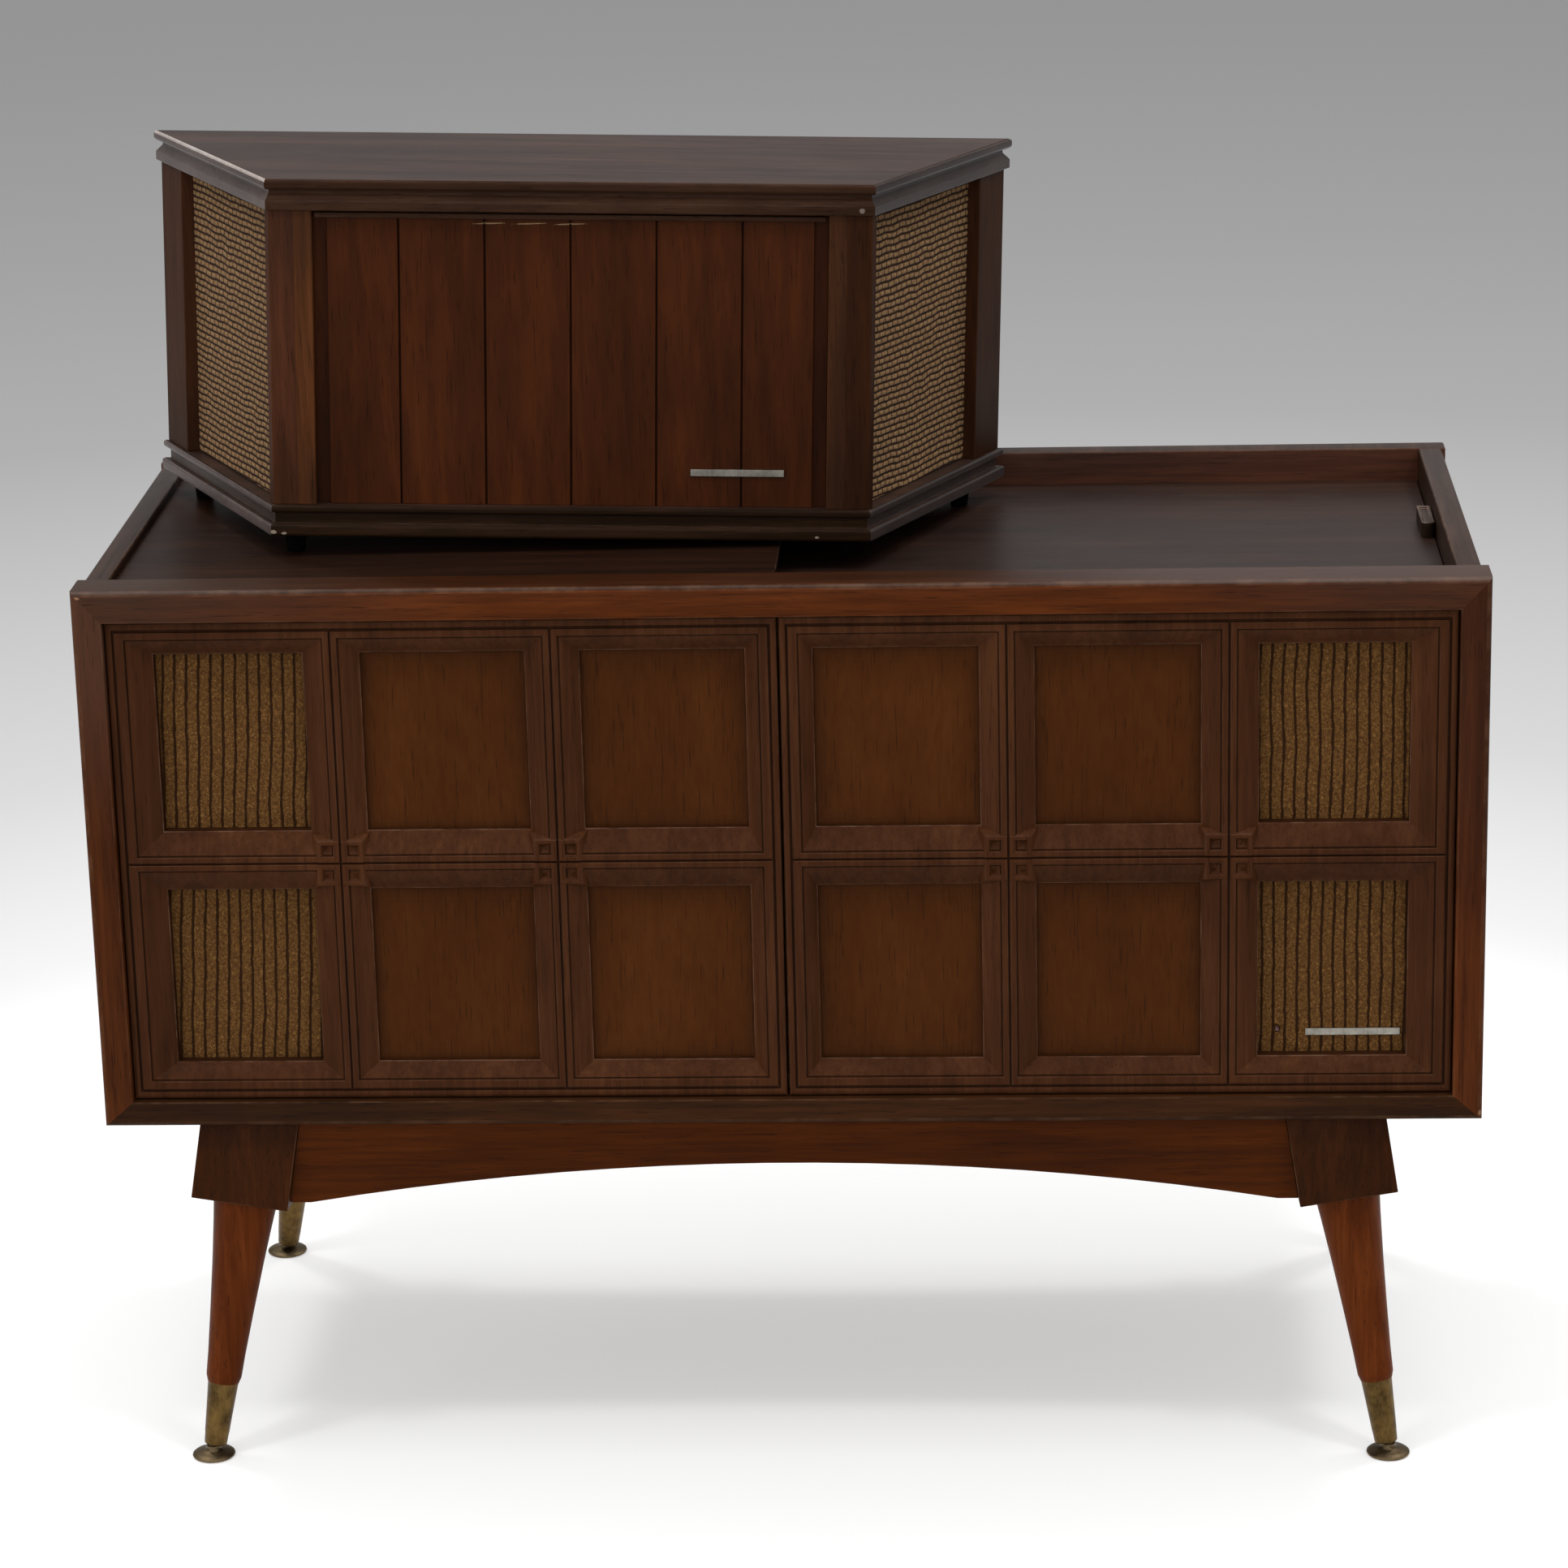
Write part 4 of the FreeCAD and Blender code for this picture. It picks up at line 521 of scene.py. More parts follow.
def carried(bm, face, rect, y):
    """Draws a rectangle on to a new one (x0, x1, z0, z1) at a depth; returns it and its walls."""
    before = set(bm.faces)
    new = bmesh.ops.extrude_discrete_faces(bm, faces=[face])["faces"][0]
    verts = list(new.verts)
    xs, zs = [sorted(v.co[axis] for v in verts)[::3] for axis in (0, 2)]
    x0, x1, z0, z1 = rect
    middle = Vector((sum(xs) / 2, verts[0].co.y, sum(zs) / 2))
    scale = ((x1 - x0) * MM / (xs[1] - xs[0]), 1, (z1 - z0) * MM / (zs[1] - zs[0]))
    bmesh.ops.scale(bm, vec=scale, space=Matrix.Translation(-middle), verts=verts)
    target = Vector(((x0 + x1) / 2, y, (z0 + z1) / 2)) * MM
    bmesh.ops.translate(bm, vec=target - middle, verts=verts)
    return new, set(bm.faces) - before - {new}


def front_face(bm, rect, y):
    """One rectangle that faces the listener."""
    x0, x1, z0, z1 = rect
    spots = ((x0, z0), (x1, z0), (x1, z1), (x0, z1))
    return bm.faces.new([bm.verts.new(Vector((x, y, z)) * MM) for x, z in spots])


def between(a, b, t):
    return tuple(p + (q - p) * t for p, q in zip(a, b))


def inset(rect, by):
    return (rect[0] + by, rect[1] - by, rect[2] + by, rect[3] - by)


def lathe(bm, profile, steps, turn=None):
    """Spins a profile of (radius, height) pairs in millimetres about Z; its ends lie on the axis."""
    verts = [bm.verts.new((r * MM, 0, z * MM)) for r, z in profile]
    edges = [bm.edges.new(pair) for pair in zip(verts, verts[1:])]
    bmesh.ops.spin(bm, geom=verts + edges, cent=(0, 0, 0), axis=(0, 0, 1), dvec=(0, 0, 0),
                   angle=math.tau, steps=steps, use_merge=True, use_duplicate=False)
    bmesh.ops.remove_doubles(bm, verts=bm.verts, dist=0.000005)
    bmesh.ops.recalc_face_normals(bm, faces=bm.faces)
    if turn:
        turned(bm, turn)


def spun(name, body, slot, material, node, angle, profile, steps, turn):
    """A lathed piece."""
    bm = bmesh.new()
    lathe(bm, profile, steps, turn)
    piece(name, bm, body, slot, material, node, angle)


def hand(side):
    return "left" if side < 0 else "right"


# Front: the mitred frame, the two grille frames, the panels and the cloths


def front_frame():
    """Four members mitred at the corners, rounded on the outside, with a fine line at each mitre."""
    mitres = [((CASE_OUTLINE[i], CASE_OUTLINE[j]), (FRAME_OPENING[i], FRAME_OPENING[j]))
              for i, j in ((0, 2), (1, 2), (1, 3), (0, 3))]
    bm = bmesh.new()
    layer(bm, "worn_and_glint")
    for n, finish in enumerate((2, 3, 0, 1)):
        (a, a_in), (b, b_in) = mitres[n], mitres[(n + 1) % 4]
        ring = [bm.verts.new(Vector((x, CASE_FRONT, z)) * MM) for x, z in (a, b, b_in, a_in)]
        face = bm.faces.new(ring)
        made = bmesh.ops.extrude_face_region(bm, geom=[face])
        moved = [v for v in made["geom"] if isinstance(v, bmesh.types.BMVert)]
        bmesh.ops.translate(bm, vec=(0, (FRAME_BACK - CASE_FRONT) * MM, 0), verts=moved)
        own = set(ring + moved)
        member = [f for f in bm.faces if all(v in own for v in f.verts)]
        bmesh.ops.recalc_face_normals(bm, faces=member)
        for f in member:
            f.material_index = finish
        outside, inside, left, right = [[e for e in bm.edges if set(e.verts) == {ring[i], ring[j]}]
                                        for i, j in ((0, 1), (2, 3), (0, 3), (1, 2))]
        for edges, width, segments, worn_and_glint in ((outside, 4.2, 4, 0.2), (inside, 1.2, 2, 0.2),
                                             (left + right, 0.35, 1, 0)):
            rounded(bm, [e for e in edges if e.is_valid], width, segments, worn_and_glint)
    # The top rail's upward faces take the rail-top walnut, with painted reflection towards its ends.
    for f in bm.faces:
        if f.material_index == 0 and f.normal.z > 0.5:
            f.material_index = 4
    piece("front_frame_members", bm, CASE, "walnut", frame_woods, "front_frame", 35)


def window_of(column, row):
    """The clear window of a cell, its true size."""
    left = TRUE_COLUMNS[column]
    low = TRUE_ROWS[row] + (CELL_HEIGHT - WINDOW_HEIGHT) / 2
    near, far = CLOTH_NEAR, CLOTH_FAR
    if column < 2:
        near = far = (CELL_WIDTH - VENEER_WINDOW) / 2
    return (left + near, left + CELL_WIDTH - far, low, low + WINDOW_HEIGHT)


def cell_surface(bm, column, row):
    """One cell: crossing line, ridge, fine line, soft slope and the window's wall."""
    cell = (CELL_COLUMNS[column], CELL_COLUMNS[column + 1], CELL_ROWS[row], CELL_ROWS[row + 1])
    window = window_of(column, row)
    deep = VENEER_FACE if column < 2 else CLOTH_FACE
    step = (cell[0] + (9.0 if column == 0 else 6.9), cell[1] - (9.4 if column == 2 else 6.9),
            cell[2] + (9.0 if row == 0 else 6.9), cell[3] - (7.6 if row == 1 else 6.9))
    worn_and_glint, shade = layer(bm, "worn_and_glint"), layer(bm, "shade")
    face = front_face(bm, cell, GRILLE_FRONT + 2.2)
    # Each step: line, inset, depth, pale arris amount, and painted shade (dim) in the crossing line, the
    # step line and the window's wall.
    steps = [(inset(line, by), depth, wear, dim) for line, by, depth, wear, dim in (
        (cell, 0.55, 2.2, 0, 1), (cell, 0.9, 0.5, 0, 0.8), (cell, 1.6, 0, 0.25, 0), (step, -1.9, 0, 0, 0),
        (step, -1.2, 0.5, 0.25, 0), (step, -0.8, 1.9, 0, 0.8), (step, -0.2, 1.9, 0, 1),
        (step, 0.2, 1.5, 0, 0.5))]
    edge = WINDOW_EDGE - GRILLE_FRONT
    for n in range(1, 10):
        t = n / 10
        depth = 1.4 + (edge - 1.4) * (0.72 * t + 0.28 * t * t)
        steps.append((between(inset(step, 0.2), inset(window, -0.7), t), depth, 0, 0))
    steps += [(inset(window, -0.7), edge - 0.55, 0, 0), (inset(window, -0.1), edge - 0.1, 0.8, 0),
              (window, edge + 0.5, 0.8, 0), (window, deep + 0.05 - GRILLE_FRONT, 0, 0.8)]
    for rect, depth, wear, dim in steps:
        face, walls = carried(bm, face, rect, GRILLE_FRONT + depth)
        for wall in walls:
            # Below the window's foot a strong pale mark stays whole, elsewhere it drops to a quarter: the
            # whole mark on the upward-facing lower arris is painted highlight, the rest wear.
            low_side = wall.calc_center_median().z < (window[2] if wear else -1)
            wall[worn_and_glint] = wear if (low_side or wear < 0.5) else wear * 0.25
            wall[shade] = dim
    bmesh.ops.delete(bm, geom=[face], context="FACES_ONLY")


def carved_square(bm, crossing, sign_x, sign_z):
    """A square in the corner of a crossing, with an inverted pyramid cut in it and a coved foot."""
    near, far, foot, half = 0.95, 18.4, 3.2, 5.9
    middle_x, middle_z = [at + sign * (near + far) / 2 for at, sign in zip(crossing, (sign_x, sign_z))]
    worn_and_glint, shade = layer(bm, "worn_and_glint"), layer(bm, "shade")

    def rect(grow):
        x = sorted((crossing[0] + sign_x * near, crossing[0] + sign_x * (far + grow * foot)))
        z = sorted((crossing[1] + sign_z * near, crossing[1] + sign_z * (far + grow * foot)))
        return (*x, *z)

    face = front_face(bm, rect(1.6), WINDOW_EDGE)
    for grow, y, wear in ((1.25, -214.5, 0), (0.62, -217.6, 0), (0.25, -219.2, 0.1), (0.06, -220.0, 0.3),
                          (-0.12, SQUARE_FRONT, 0.3)):
        face, walls = carried(bm, face, rect(grow), y)
        for wall in walls:
            wall[worn_and_glint] = wear
    mouth = (middle_x - half, middle_x + half, middle_z - half, middle_z + half)
    face, _ = carried(bm, face, mouth, SQUARE_FRONT)
    face, _ = carried(bm, face, inset(mouth, 0.4), SQUARE_FRONT + 0.5)
    face, walls = carried(bm, face, inset(mouth, half - 0.2), GRILLE_FRONT + 6)
    # Painted shade in the pyramid's pit.
    for made in (face, *walls):
        made[shade] = 0.3


def border(bm):
    """The rounded bead round a grille frame, and its outer edge."""
    inner = (CELL_COLUMNS[0], CELL_COLUMNS[3], CELL_ROWS[0], CELL_ROWS[2])
    shade, worn_and_glint = layer(bm, "shade"), layer(bm, "worn_and_glint")
    face = front_face(bm, GRILLE_OUTLINE, GRILLE_BACK)
    for t, y in ((0, -216.6), (0.06, -218.2), (0.2, -219.2), (0.4, -219.7), (0.62, -219.7), (0.8, -219.2),
                 (0.9, -218.2), (0.93, -217.8), (1, -217.8)):
        face, walls = carried(bm, face, between(GRILLE_OUTLINE, inner, t), y)
        for wall in walls:
            # Painted shade on the outer edge's walls, in the gap beside the frame.
            wall[shade] = 1 if t > 0.85 else 0
            wall[worn_and_glint] = 0.3 if t in (0.06, 0.2) else 0
    bmesh.ops.delete(bm, geom=[face], context="FACES_ONLY")


def grille_frame(side):
    """A grille frame with its six cells, its bead and its carved squares."""
    bm = bmesh.new()
    border(bm)
    for column in range(3):
        for row in range(2):
            cell_surface(bm, column, row)
    for x in CELL_COLUMNS[1:3]:
        for signs in SIGNS:
            carved_square(bm, (x, CELL_ROWS[1]), *signs)
    if side < 0:
        bmesh.ops.scale(bm, vec=(-1, 1, 1), verts=bm.verts)
        bmesh.ops.reverse_faces(bm, faces=bm.faces)
    name = hand(side) + "_grille_"
    piece(name + "carving", bm, CASE, "dark_moulding", moulding_wood, name + "frame")


def veneer_panels():
    """The flat panels behind the inner windows, with painted shade darkening them towards the edges."""
    bm = bmesh.new()
    shade = layer(bm, "shade")
    rim, thickness = 5.5, 4.6
    for n in range(8):
        rect = inset(window_of(n // 2 % 2, n % 2), -rim)
        if n < 4:
            rect = (-rect[1], -rect[0], rect[2], rect[3])
        face = front_face(bm, rect, VENEER_FACE + thickness)
        face, _ = carried(bm, face, rect, VENEER_FACE)
        # Painted shade in rings, darkest at each panel's edge.
        for by, dim in ((0, 0.7), (2, 0.595), (5, 0.434), (9, 0.294), (14, 0.175), (20, 0.084),
                        (27, 0.035)):
            face, walls = carried(bm, face, inset(rect, rim + by), VENEER_FACE)
            for wall in walls:
                wall[shade] = dim
    bmesh.ops.holes_fill(bm, edges=[e for e in bm.edges if e.is_boundary], sides=4)
    piece("veneer_boards", bm, CASE, "veneer", veneer_wood, "veneer_panels")


def gold_cloth_finish():
    """Woven gold cloth: flecked upright bands with a dark cord between them, at whole values of U."""
    f = Finish("gold_cloth")
    across, along, _ = f.axes("UV")
    ragged = f.cloud(260, 3, 0.65, f.place((1, 1, 0.7)))
    from_line = f.off_middle(across)
    cord = f.span(f.times(ragged, 0.16, from_line), 0.43, 0.50)
    fleck = f.cloud(1000, 3, 0.75, f.place((1, 1, 0.8)))
    speck = f.cloud(420, 4, 0.8)
    colour = f.ramp(f.times(fleck, 0.5, f.times(speck, 0.5)),
                    [(0.34, (54, 32, 14)), (0.46, (88, 57, 26)), (0.55, (112, 77, 38)),
                     (0.67, (168, 122, 70))])
    picks = f.off_middle(f.times(along, 96.0))
    colour = f.mix(f.span(picks, 0.32, 0.5, 0, 0.22), colour, linear((60, 38, 18)))
    colour = f.mix(f.times(cord, 0.94), colour, linear((40, 20, 4)))
    round_band = f.maths("SQRT", f.maths("SUBTRACT", 0.26, f.times(from_line, from_line)))
    f.bump(f.times(fleck, 0.35, round_band), 0.0006)
    return f.surface(colour, 0.8, 0.1, sheen=0.1)


def basket_cloth_finish():
    """Coarse basket cloth: cream stitches in wavy rows over brown; U counts the stitches, V the rows."""
    f = Finish("basket_cloth")
    across, along, _ = f.axes("UV")
    in_cell = f.off_middle(f.times(f.maths("FLOOR", along), 0.5, across))
    in_row = f.off_middle(along)
    stitch = f.times(f.span(in_row, 0.42, 0.22), f.span(in_cell, 0.5, 0.33, 0.12, 1.0))
    thread = f.cloud(700, 3, 0.7)
    cream = f.ramp(thread, [(0.32, (108, 80, 52)), (0.55, (152, 118, 82)), (0.72, (204, 170, 126))])
    brown = f.ramp(f.cloud(120, 2, 0.5), [(0.3, (34, 19, 10)), (0.7, (56, 35, 20))])
    colour = f.mix(f.times(stitch, 0.9), brown, cream)
    f.bump(f.times(thread, 0.3, stitch), 0.0007)
    return f.surface(colour, 0.85, 0.08, sheen=0.05)


def cloth_sheet(name, body, slot, material, size, cells, weave, turn, node):
    """A stretched cloth made flat: the weave gives each point its threads' coordinates and its rise."""
    bm = bmesh.new()
    bmesh.ops.create_grid(bm, x_segments=cells[0], y_segments=cells[1], size=0.5, calc_uvs=True)
    wrap = bm.loops.layers.uv.verify()
    threads = {v: weave(v.co.x + 0.5, v.co.y + 0.5) for v in bm.verts}
    for face in bm.faces:
        for loop in face.loops:
            loop[wrap].uv = threads[loop.vert][:2]
    for v, (_, _, rise) in threads.items():
        v.co = Vector((v.co.x * size[0], v.co.y * size[1], rise)) * MM
    return piece(name, bm, body, slot, material, node, 60, turn)


def console_cloths():
    """The cloths behind the outer windows: bands that wander, and lean a little on the left."""
    gold = gold_cloth_finish()
    for side in (-1, 1):
        for row in range(2):
            window = window_of(2, row)
            middle_x, middle_z = side * (window[0] + window[1]) / 2, (window[2] + window[3]) / 2
            stand = shifted(middle_x, CLOTH_FACE + 0.25, middle_z)
            lean = 0.86 if side < 0 else 0.06
            start = 7.3 * row + 3.1 * side

            def weave(u, w):
                slow = noise.noise(Vector((u * 2.2 + start, w * 3.4, 0.3)))
                quick = noise.noise(Vector((u * 26 + start, w * 17, 4.1)))
                band = u * 13.5 - (w - 0.5) * lean + slow * 0.17 + quick * 0.07 + start
                return band, w, 0.35 * math.sqrt(max(0.0, 1 - (2 * (band % 1.0) - 1) ** 4))

            name = "console_cloth_%s_%s" % (hand(side), ("low", "high")[row])
            sheet = cloth_sheet(name, CASE, "gold_cloth", gold, (130, 159), (168, 60), weave,
                                stand @ UPRIGHT, "grille_cloth")


# Base: legs, ferrules and glides


def legs():
    """Turned legs that lean out to their feet, their ferrules, and glides that stand level."""
    top, low, high = (CASE_OUTLINE[2] - BLOCK_HEIGHT) * LEAN, 10 * LEAN, 66 * LEAN
    leg = [(0, high - 3), (13.2, high - 3), (13.9, high - 0.5), (14.6, high + 1.5), (14.75, high + 4),
           (15.6, high + 22), (18.2, high + 60), (21.3, high + 100), (24.6, high + 136), (27, top - 0.3),
           (0, top - 0.3)]
    ferrule = [(0, low), (8.7, low), (9.35, low + 0.8), (9.5, low + 2.5), (9.9, low + 9), (10, low + 9.6),
               (10.15, low + 10.4), (11.6, low + 36), (12.75, high - 3.4), (12.95, high - 2.6),
               (13.2, high - 1.8), (13.15, high - 0.6), (12.6, high), (0, high)]
    glide = [(0, 0), (15.9, 0), (17.2, 0.5), (17.75, 1.5), (17.55, 2.3), (16.4, 3.2), (12.4, 4.3),
             (8.0, 5.4), (6.4, 6.2), (5.6, 7.4), (5.4, 9.4), (4.0, 9.6), (4.0, 12.0), (0, 12.0)]
    for name, slot, material, node, profile, steps, splay, angle in (
            ("turned_legs", "walnut", leg_wood, "legs", leg, 64, SPLAY, 40),
            ("leg_ferrules", "aged_brass", brass, "ferrules", ferrule, 64, SPLAY, 32),
            ("swivel_glides", "aged_brass", glide_metal, "glides", glide, 56, 0, 32)):
        bm = bmesh.new()
        for x, y in SIGNS:
            turn = Matrix.Rotation(-x * splay, 4, "Y") @ Matrix.Rotation(y * splay, 4, "X")
            part = bmesh.new()
            lathe(part, profile, steps, shifted(x * FOOT_X, y * FOOT_Y, 0) @ turn)
            joined(bm, part)
        piece(name, bm, CASE, slot, material, node, angle)


# Extension speaker


def stood_up():
    """Where the speaker stands: askew, on two feet on the high panel and one on the low panel."""
    left, right, near = FEET
    roll = math.asin(PANEL_STEP / (right[0] - left[0]))
    pitch = math.atan((near[0] - left[0]) * math.tan(roll) / (left[1] - near[1]))
    turn = (Matrix.Rotation(BOX_TURN, 4, "Z") @ Matrix.Rotation(-pitch, 4, "X")
            @ Matrix.Rotation(roll, 4, "Y"))
    sole = turn @ Vector((left[0], left[1], -BOX_FOOT))
    return shifted(*BOX_SPOT, HIGH_PANEL + FOOT_GAP - sole.z) @ turn


STAND = stood_up()
LYING_BACK = STAND.inverted()


def in_box(face):
    """The middle of a face in the speaker's own frame, in millimetres."""
    return LYING_BACK @ face.calc_center_median() / MM


def speaker_cloths():
    """The slanted sides' cloths, between the thin front corner posts and the wide rear ones."""
    basket = basket_cloth_finish()
    slant = (BOX_BACK - BOX_FRONT) / 2
    run = math.hypot(slant, BOX_DEPTH)
    along = Vector((slant / run, BOX_DEPTH / run, 0))
    outward = Vector((along.y, -along.x, 0))
    corner_x = BOX_FRONT / 2 - BODY_INSET / outward.x + BODY_INSET * along.x / along.y
    corner = Vector((corner_x, BODY_INSET, 0))
    start, end = FRONT_POST, (BOX_DEPTH - 2 * BODY_INSET) / along.y - REAR_POST
    low_z, high_z = 26.8, BOX_HEIGHT - 25.8
    width, height = end - start, high_z - low_z
    middle = corner + along * (start + end) / 2 - outward * (CLOTH_RECESS - 0.2)
    middle.z = (low_z + high_z) / 2
    right = Matrix(((along.x, 0, outward.x, 0), (along.y, 0, outward.y, 0), (0, 1, 0, 0), (0, 0, 0, 1)))
    right.translation = middle * MM
    mirror = Matrix.Scale(-1, 4, (1, 0, 0))
    for side, stand in ((-1, mirror @ right @ mirror), (1, right)):

        def weave(u, w):
            wave = noise.noise(Vector((u * 2.2 + side, w * 2.2, 0.7))) * 0.5
            quick = noise.noise(Vector((u * 13, w * 9, side * 3.0))) * 0.2
            row = w * 43 + wave + quick
            cell = u * 20 + noise.noise(Vector((u * 9, w * 22, 5.0 + side))) * 0.3
            in_row = 1 - abs(2 * (row % 1.0) - 1)
            in_cell = 1 - abs(2 * ((cell + math.floor(row) * 0.5) % 1.0) - 1)
            return cell, row, 0.45 * min(1, 1.6 * in_row) * min(1, 0.4 + 1.8 * in_cell)

        sheet = cloth_sheet("speaker_cloth_" + hand(side), SPEAKER, "basket_cloth", basket, (width, height),
                            (136, 240), weave, STAND @ stand, "speaker_side_cloth")


def speaker_boards():
    """The speaker's mouldings, whose slanted sides carry painted sheen on the left and painted shade on the
    right, its posts in painted lit and shaded copies, its boards with painted shade in rebates and grooves,
    and plain bar.
    """

    def of_moulding(face):
        # Top faces 0, fronts 1; the slanted sides carry painted light: left-facing ones the pale copy 2, the
        # left cove a less pale copy 5, the left lip's upward arris a paler copy 4 as painted highlight,
        # right-facing ones the darker copy 3 as painted shade.
        height = in_box(face).z
        if face.normal.z > 0.95:
            return 0
        if face.normal.x < -0.2 and face.normal.z > 0.25 and height > LIP_FOOT:
            return 4
        if face.normal.x > 0.5:
            return 3
        if face.normal.x < -0.5:
            return 5 if COVE_FOOT < height < COVE_TOP else 2
        return 1

    def of_post(face):
        # Copies by side as painted light: left rear 0, right rear 2 (shaded); left outer 1 (lit), left inner
        # 3 (lit more); right outer 2 (shaded), right inner 0; between the posts 4.
        spot = in_box(face)
        if spot.y > BOX_DEPTH / 2:
            return 0 if spot.x < 0 else 2
        if abs(spot.x) < BOARD_HALF - 1:
            return 4
        if spot.x < 0:
            return 1 if spot.x < -POST_RIDGE else 3
        return 2 if spot.x > POST_RIDGE else 0

    # Painted shade: partly dark in the rebates beside the posts, fully dark in the grooves between the
    # boards.
    def sunk(face):
        spot = in_box(face)
        if abs(spot.x) > BOARD_HALF - REBATE - 0.5:
            return 0.45
        return 1.0 if spot.y > BOARD_FRONT + 0.6 else 0.0

    for end, front_wood in (("top", speaker_band_wood), ("base", speaker_base_wood)):
        woods = [speaker_top_wood, front_wood, *painted_light_side_woods]
        eased("speaker_%s_board" % end, SPEAKER, "walnut", woods, 0.5, angle=24, worn_and_glint=0.12,
              choose=of_moulding)
    ridges = [(STAND @ (Vector((x, 0, 0)) * MM), STAND.to_3x3() @ Vector((1, 0, 0)))
              for x in (-POST_RIDGE, POST_RIDGE)]
    eased("speaker_posts", SPEAKER, "walnut", [*lit_and_shaded_post_woods, speaker_band_wood], 0.9, worn_and_glint=0.08,
          choose=of_post, partings=ridges)
    eased("speaker_front_boards", SPEAKER, "veneer", board_wood, 0.35, 1, worn_and_glint=0, dim=sunk)
    eased("speaker_name_bar", SPEAKER, "bright_trim", bright_trim, 0.4)
    eased("console_name_bar", CASE, "bright_trim", bright_trim, 0.4)


# Boards of the case, the gallery, the sliding top and the base, and the lamp in the grille


def case_boards():
    """The case's boards: the rims' and back rail's tops take a greyer copy of the walnut as painted sheen;
    the gallery's inner faces and the pull's sides a darker copy as painted shade.
    """

    def of_side(face):
        if face.normal.z > 0.8:
            return 1
        return 2 if face.normal.x * face.calc_center_median().x < -0.1 else 0

    eased("side_boards", CASE, "walnut", [side_wood, sheen_rim_wood, shaded_gallery_wood], 2.0, 3, worn_and_glint=0.15,
          choose=of_side)
    eased("back_rail", CASE, "walnut", [back_rail_wood, sheen_rim_wood], 1.6, 3, worn_and_glint=0.15,
          choose=lambda face: 1 if face.normal.z > 0.8 else 0)
    eased("left_top_panel", CASE, "veneer", shaded_left_top_wood, 0.5)
    eased("right_top_panel", "gliding_panel", "veneer", top_wood, 0.5)
    eased("panel_pull", "gliding_panel", "walnut", [pull_wood, shaded_pull_side_wood], 0.7, worn_and_glint=0.8,
          choose=lambda face: 1 if face.normal.z < 0.3 else 0)
    eased("corner_blocks", CASE, "walnut", block_wood, 1.2, 3)
    eased("base_aprons", CASE, "walnut", [apron_wood, side_rail_wood], 1.0,
          choose=lambda face: 1 if abs(face.calc_center_median().x) > 0.45 else 0)


def pilot_jewel():
    """A small ruby lamp glass in a brass ring, in the corner of the lower right cloth."""
    window = window_of(2, 0)
    stand = shifted(window[0] + 16, CLOTH_FACE, window[2] + 20) @ UPRIGHT
    lens = [(0, 0.2), (2.5, 0.2), (2.5, 2.2), (2.2, 3.0), (1.4, 3.7), (0, 4.0)]
    spun("jewel_glass", CASE, "jewel", ruby, "pilot_jewel", 50, lens, 32, stand)
    ring = [(0, 0.05), (3.2, 0.05), (3.2, 1.6), (3.0, 2.1), (2.7, 2.2), (2.5, 1.9), (2.5, 1.0), (0, 1.0)]
    spun("jewel_ring", CASE, "aged_brass", brass, None, 40, ring, 40, stand)


# Inside: the changer and the control panel


def fluted(bm, flutes, low, high, depth):
    """Cuts shallow flutes round the side of a lathed knob."""
    for v in bm.verts:
        if low < v.co.z / MM < high and math.hypot(v.co.x, v.co.y) > MM:
            angle = math.atan2(v.co.y, v.co.x)
            share = 1 - depth * (0.5 + 0.5 * math.cos(angle * flutes))
            v.co.x *= share
            v.co.y *= share


def knobs():
    """The fluted knobs of the control panel, each with a pointing line."""
    for node, y, r, skirt in (("volume_knob", -136, 13, 16), ("tone_knob", -86, 13, 16),
                              ("selector_knob", -36, 13, 16), ("tuning_knob", 116, 20, 20)):
        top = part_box(node)[1].z / MM - KNOB_FOOT
        bm = bmesh.new()
        lathe(bm, [
            (0, -14), (3, -14), (3, 0), (skirt - 0.5, 0), (skirt, 0.6), (skirt, 2.6), (skirt - 0.8, 3.6),
            (r + 0.1, 4), (r, 4.6), (r - 0.25, 6), (r - 0.5, top - 3), (r - 0.8, top - 1.6),
            (r - 1.6, top - 0.5), (r - 2.8, top), (r - 4.2, top), (r - 4.8, top - 0.5), (r - 6, top - 0.9),
            (0, top - 0.9)], 144)
        fluted(bm, 36, 4.3, top - 1.2, 0.045)
        stand = shifted(KNOB_X, y, KNOB_FOOT)
        piece(node + "_fluted", bm, node, "knob_plastic", knob_plastic, node, 40, stand)
        bm = bmesh.new()
        placed_box(bm, (KNOB_X - 0.5, KNOB_X + 0.5), (y + r - 9, y + r - 2.2),
                   (KNOB_FOOT + top - 1.0, KNOB_FOOT + top + 0.05))
        rounded(bm, bm.edges[:], 0.2, 1, 0)
        piece(node + "_line", bm, node, "enamel", enamel)


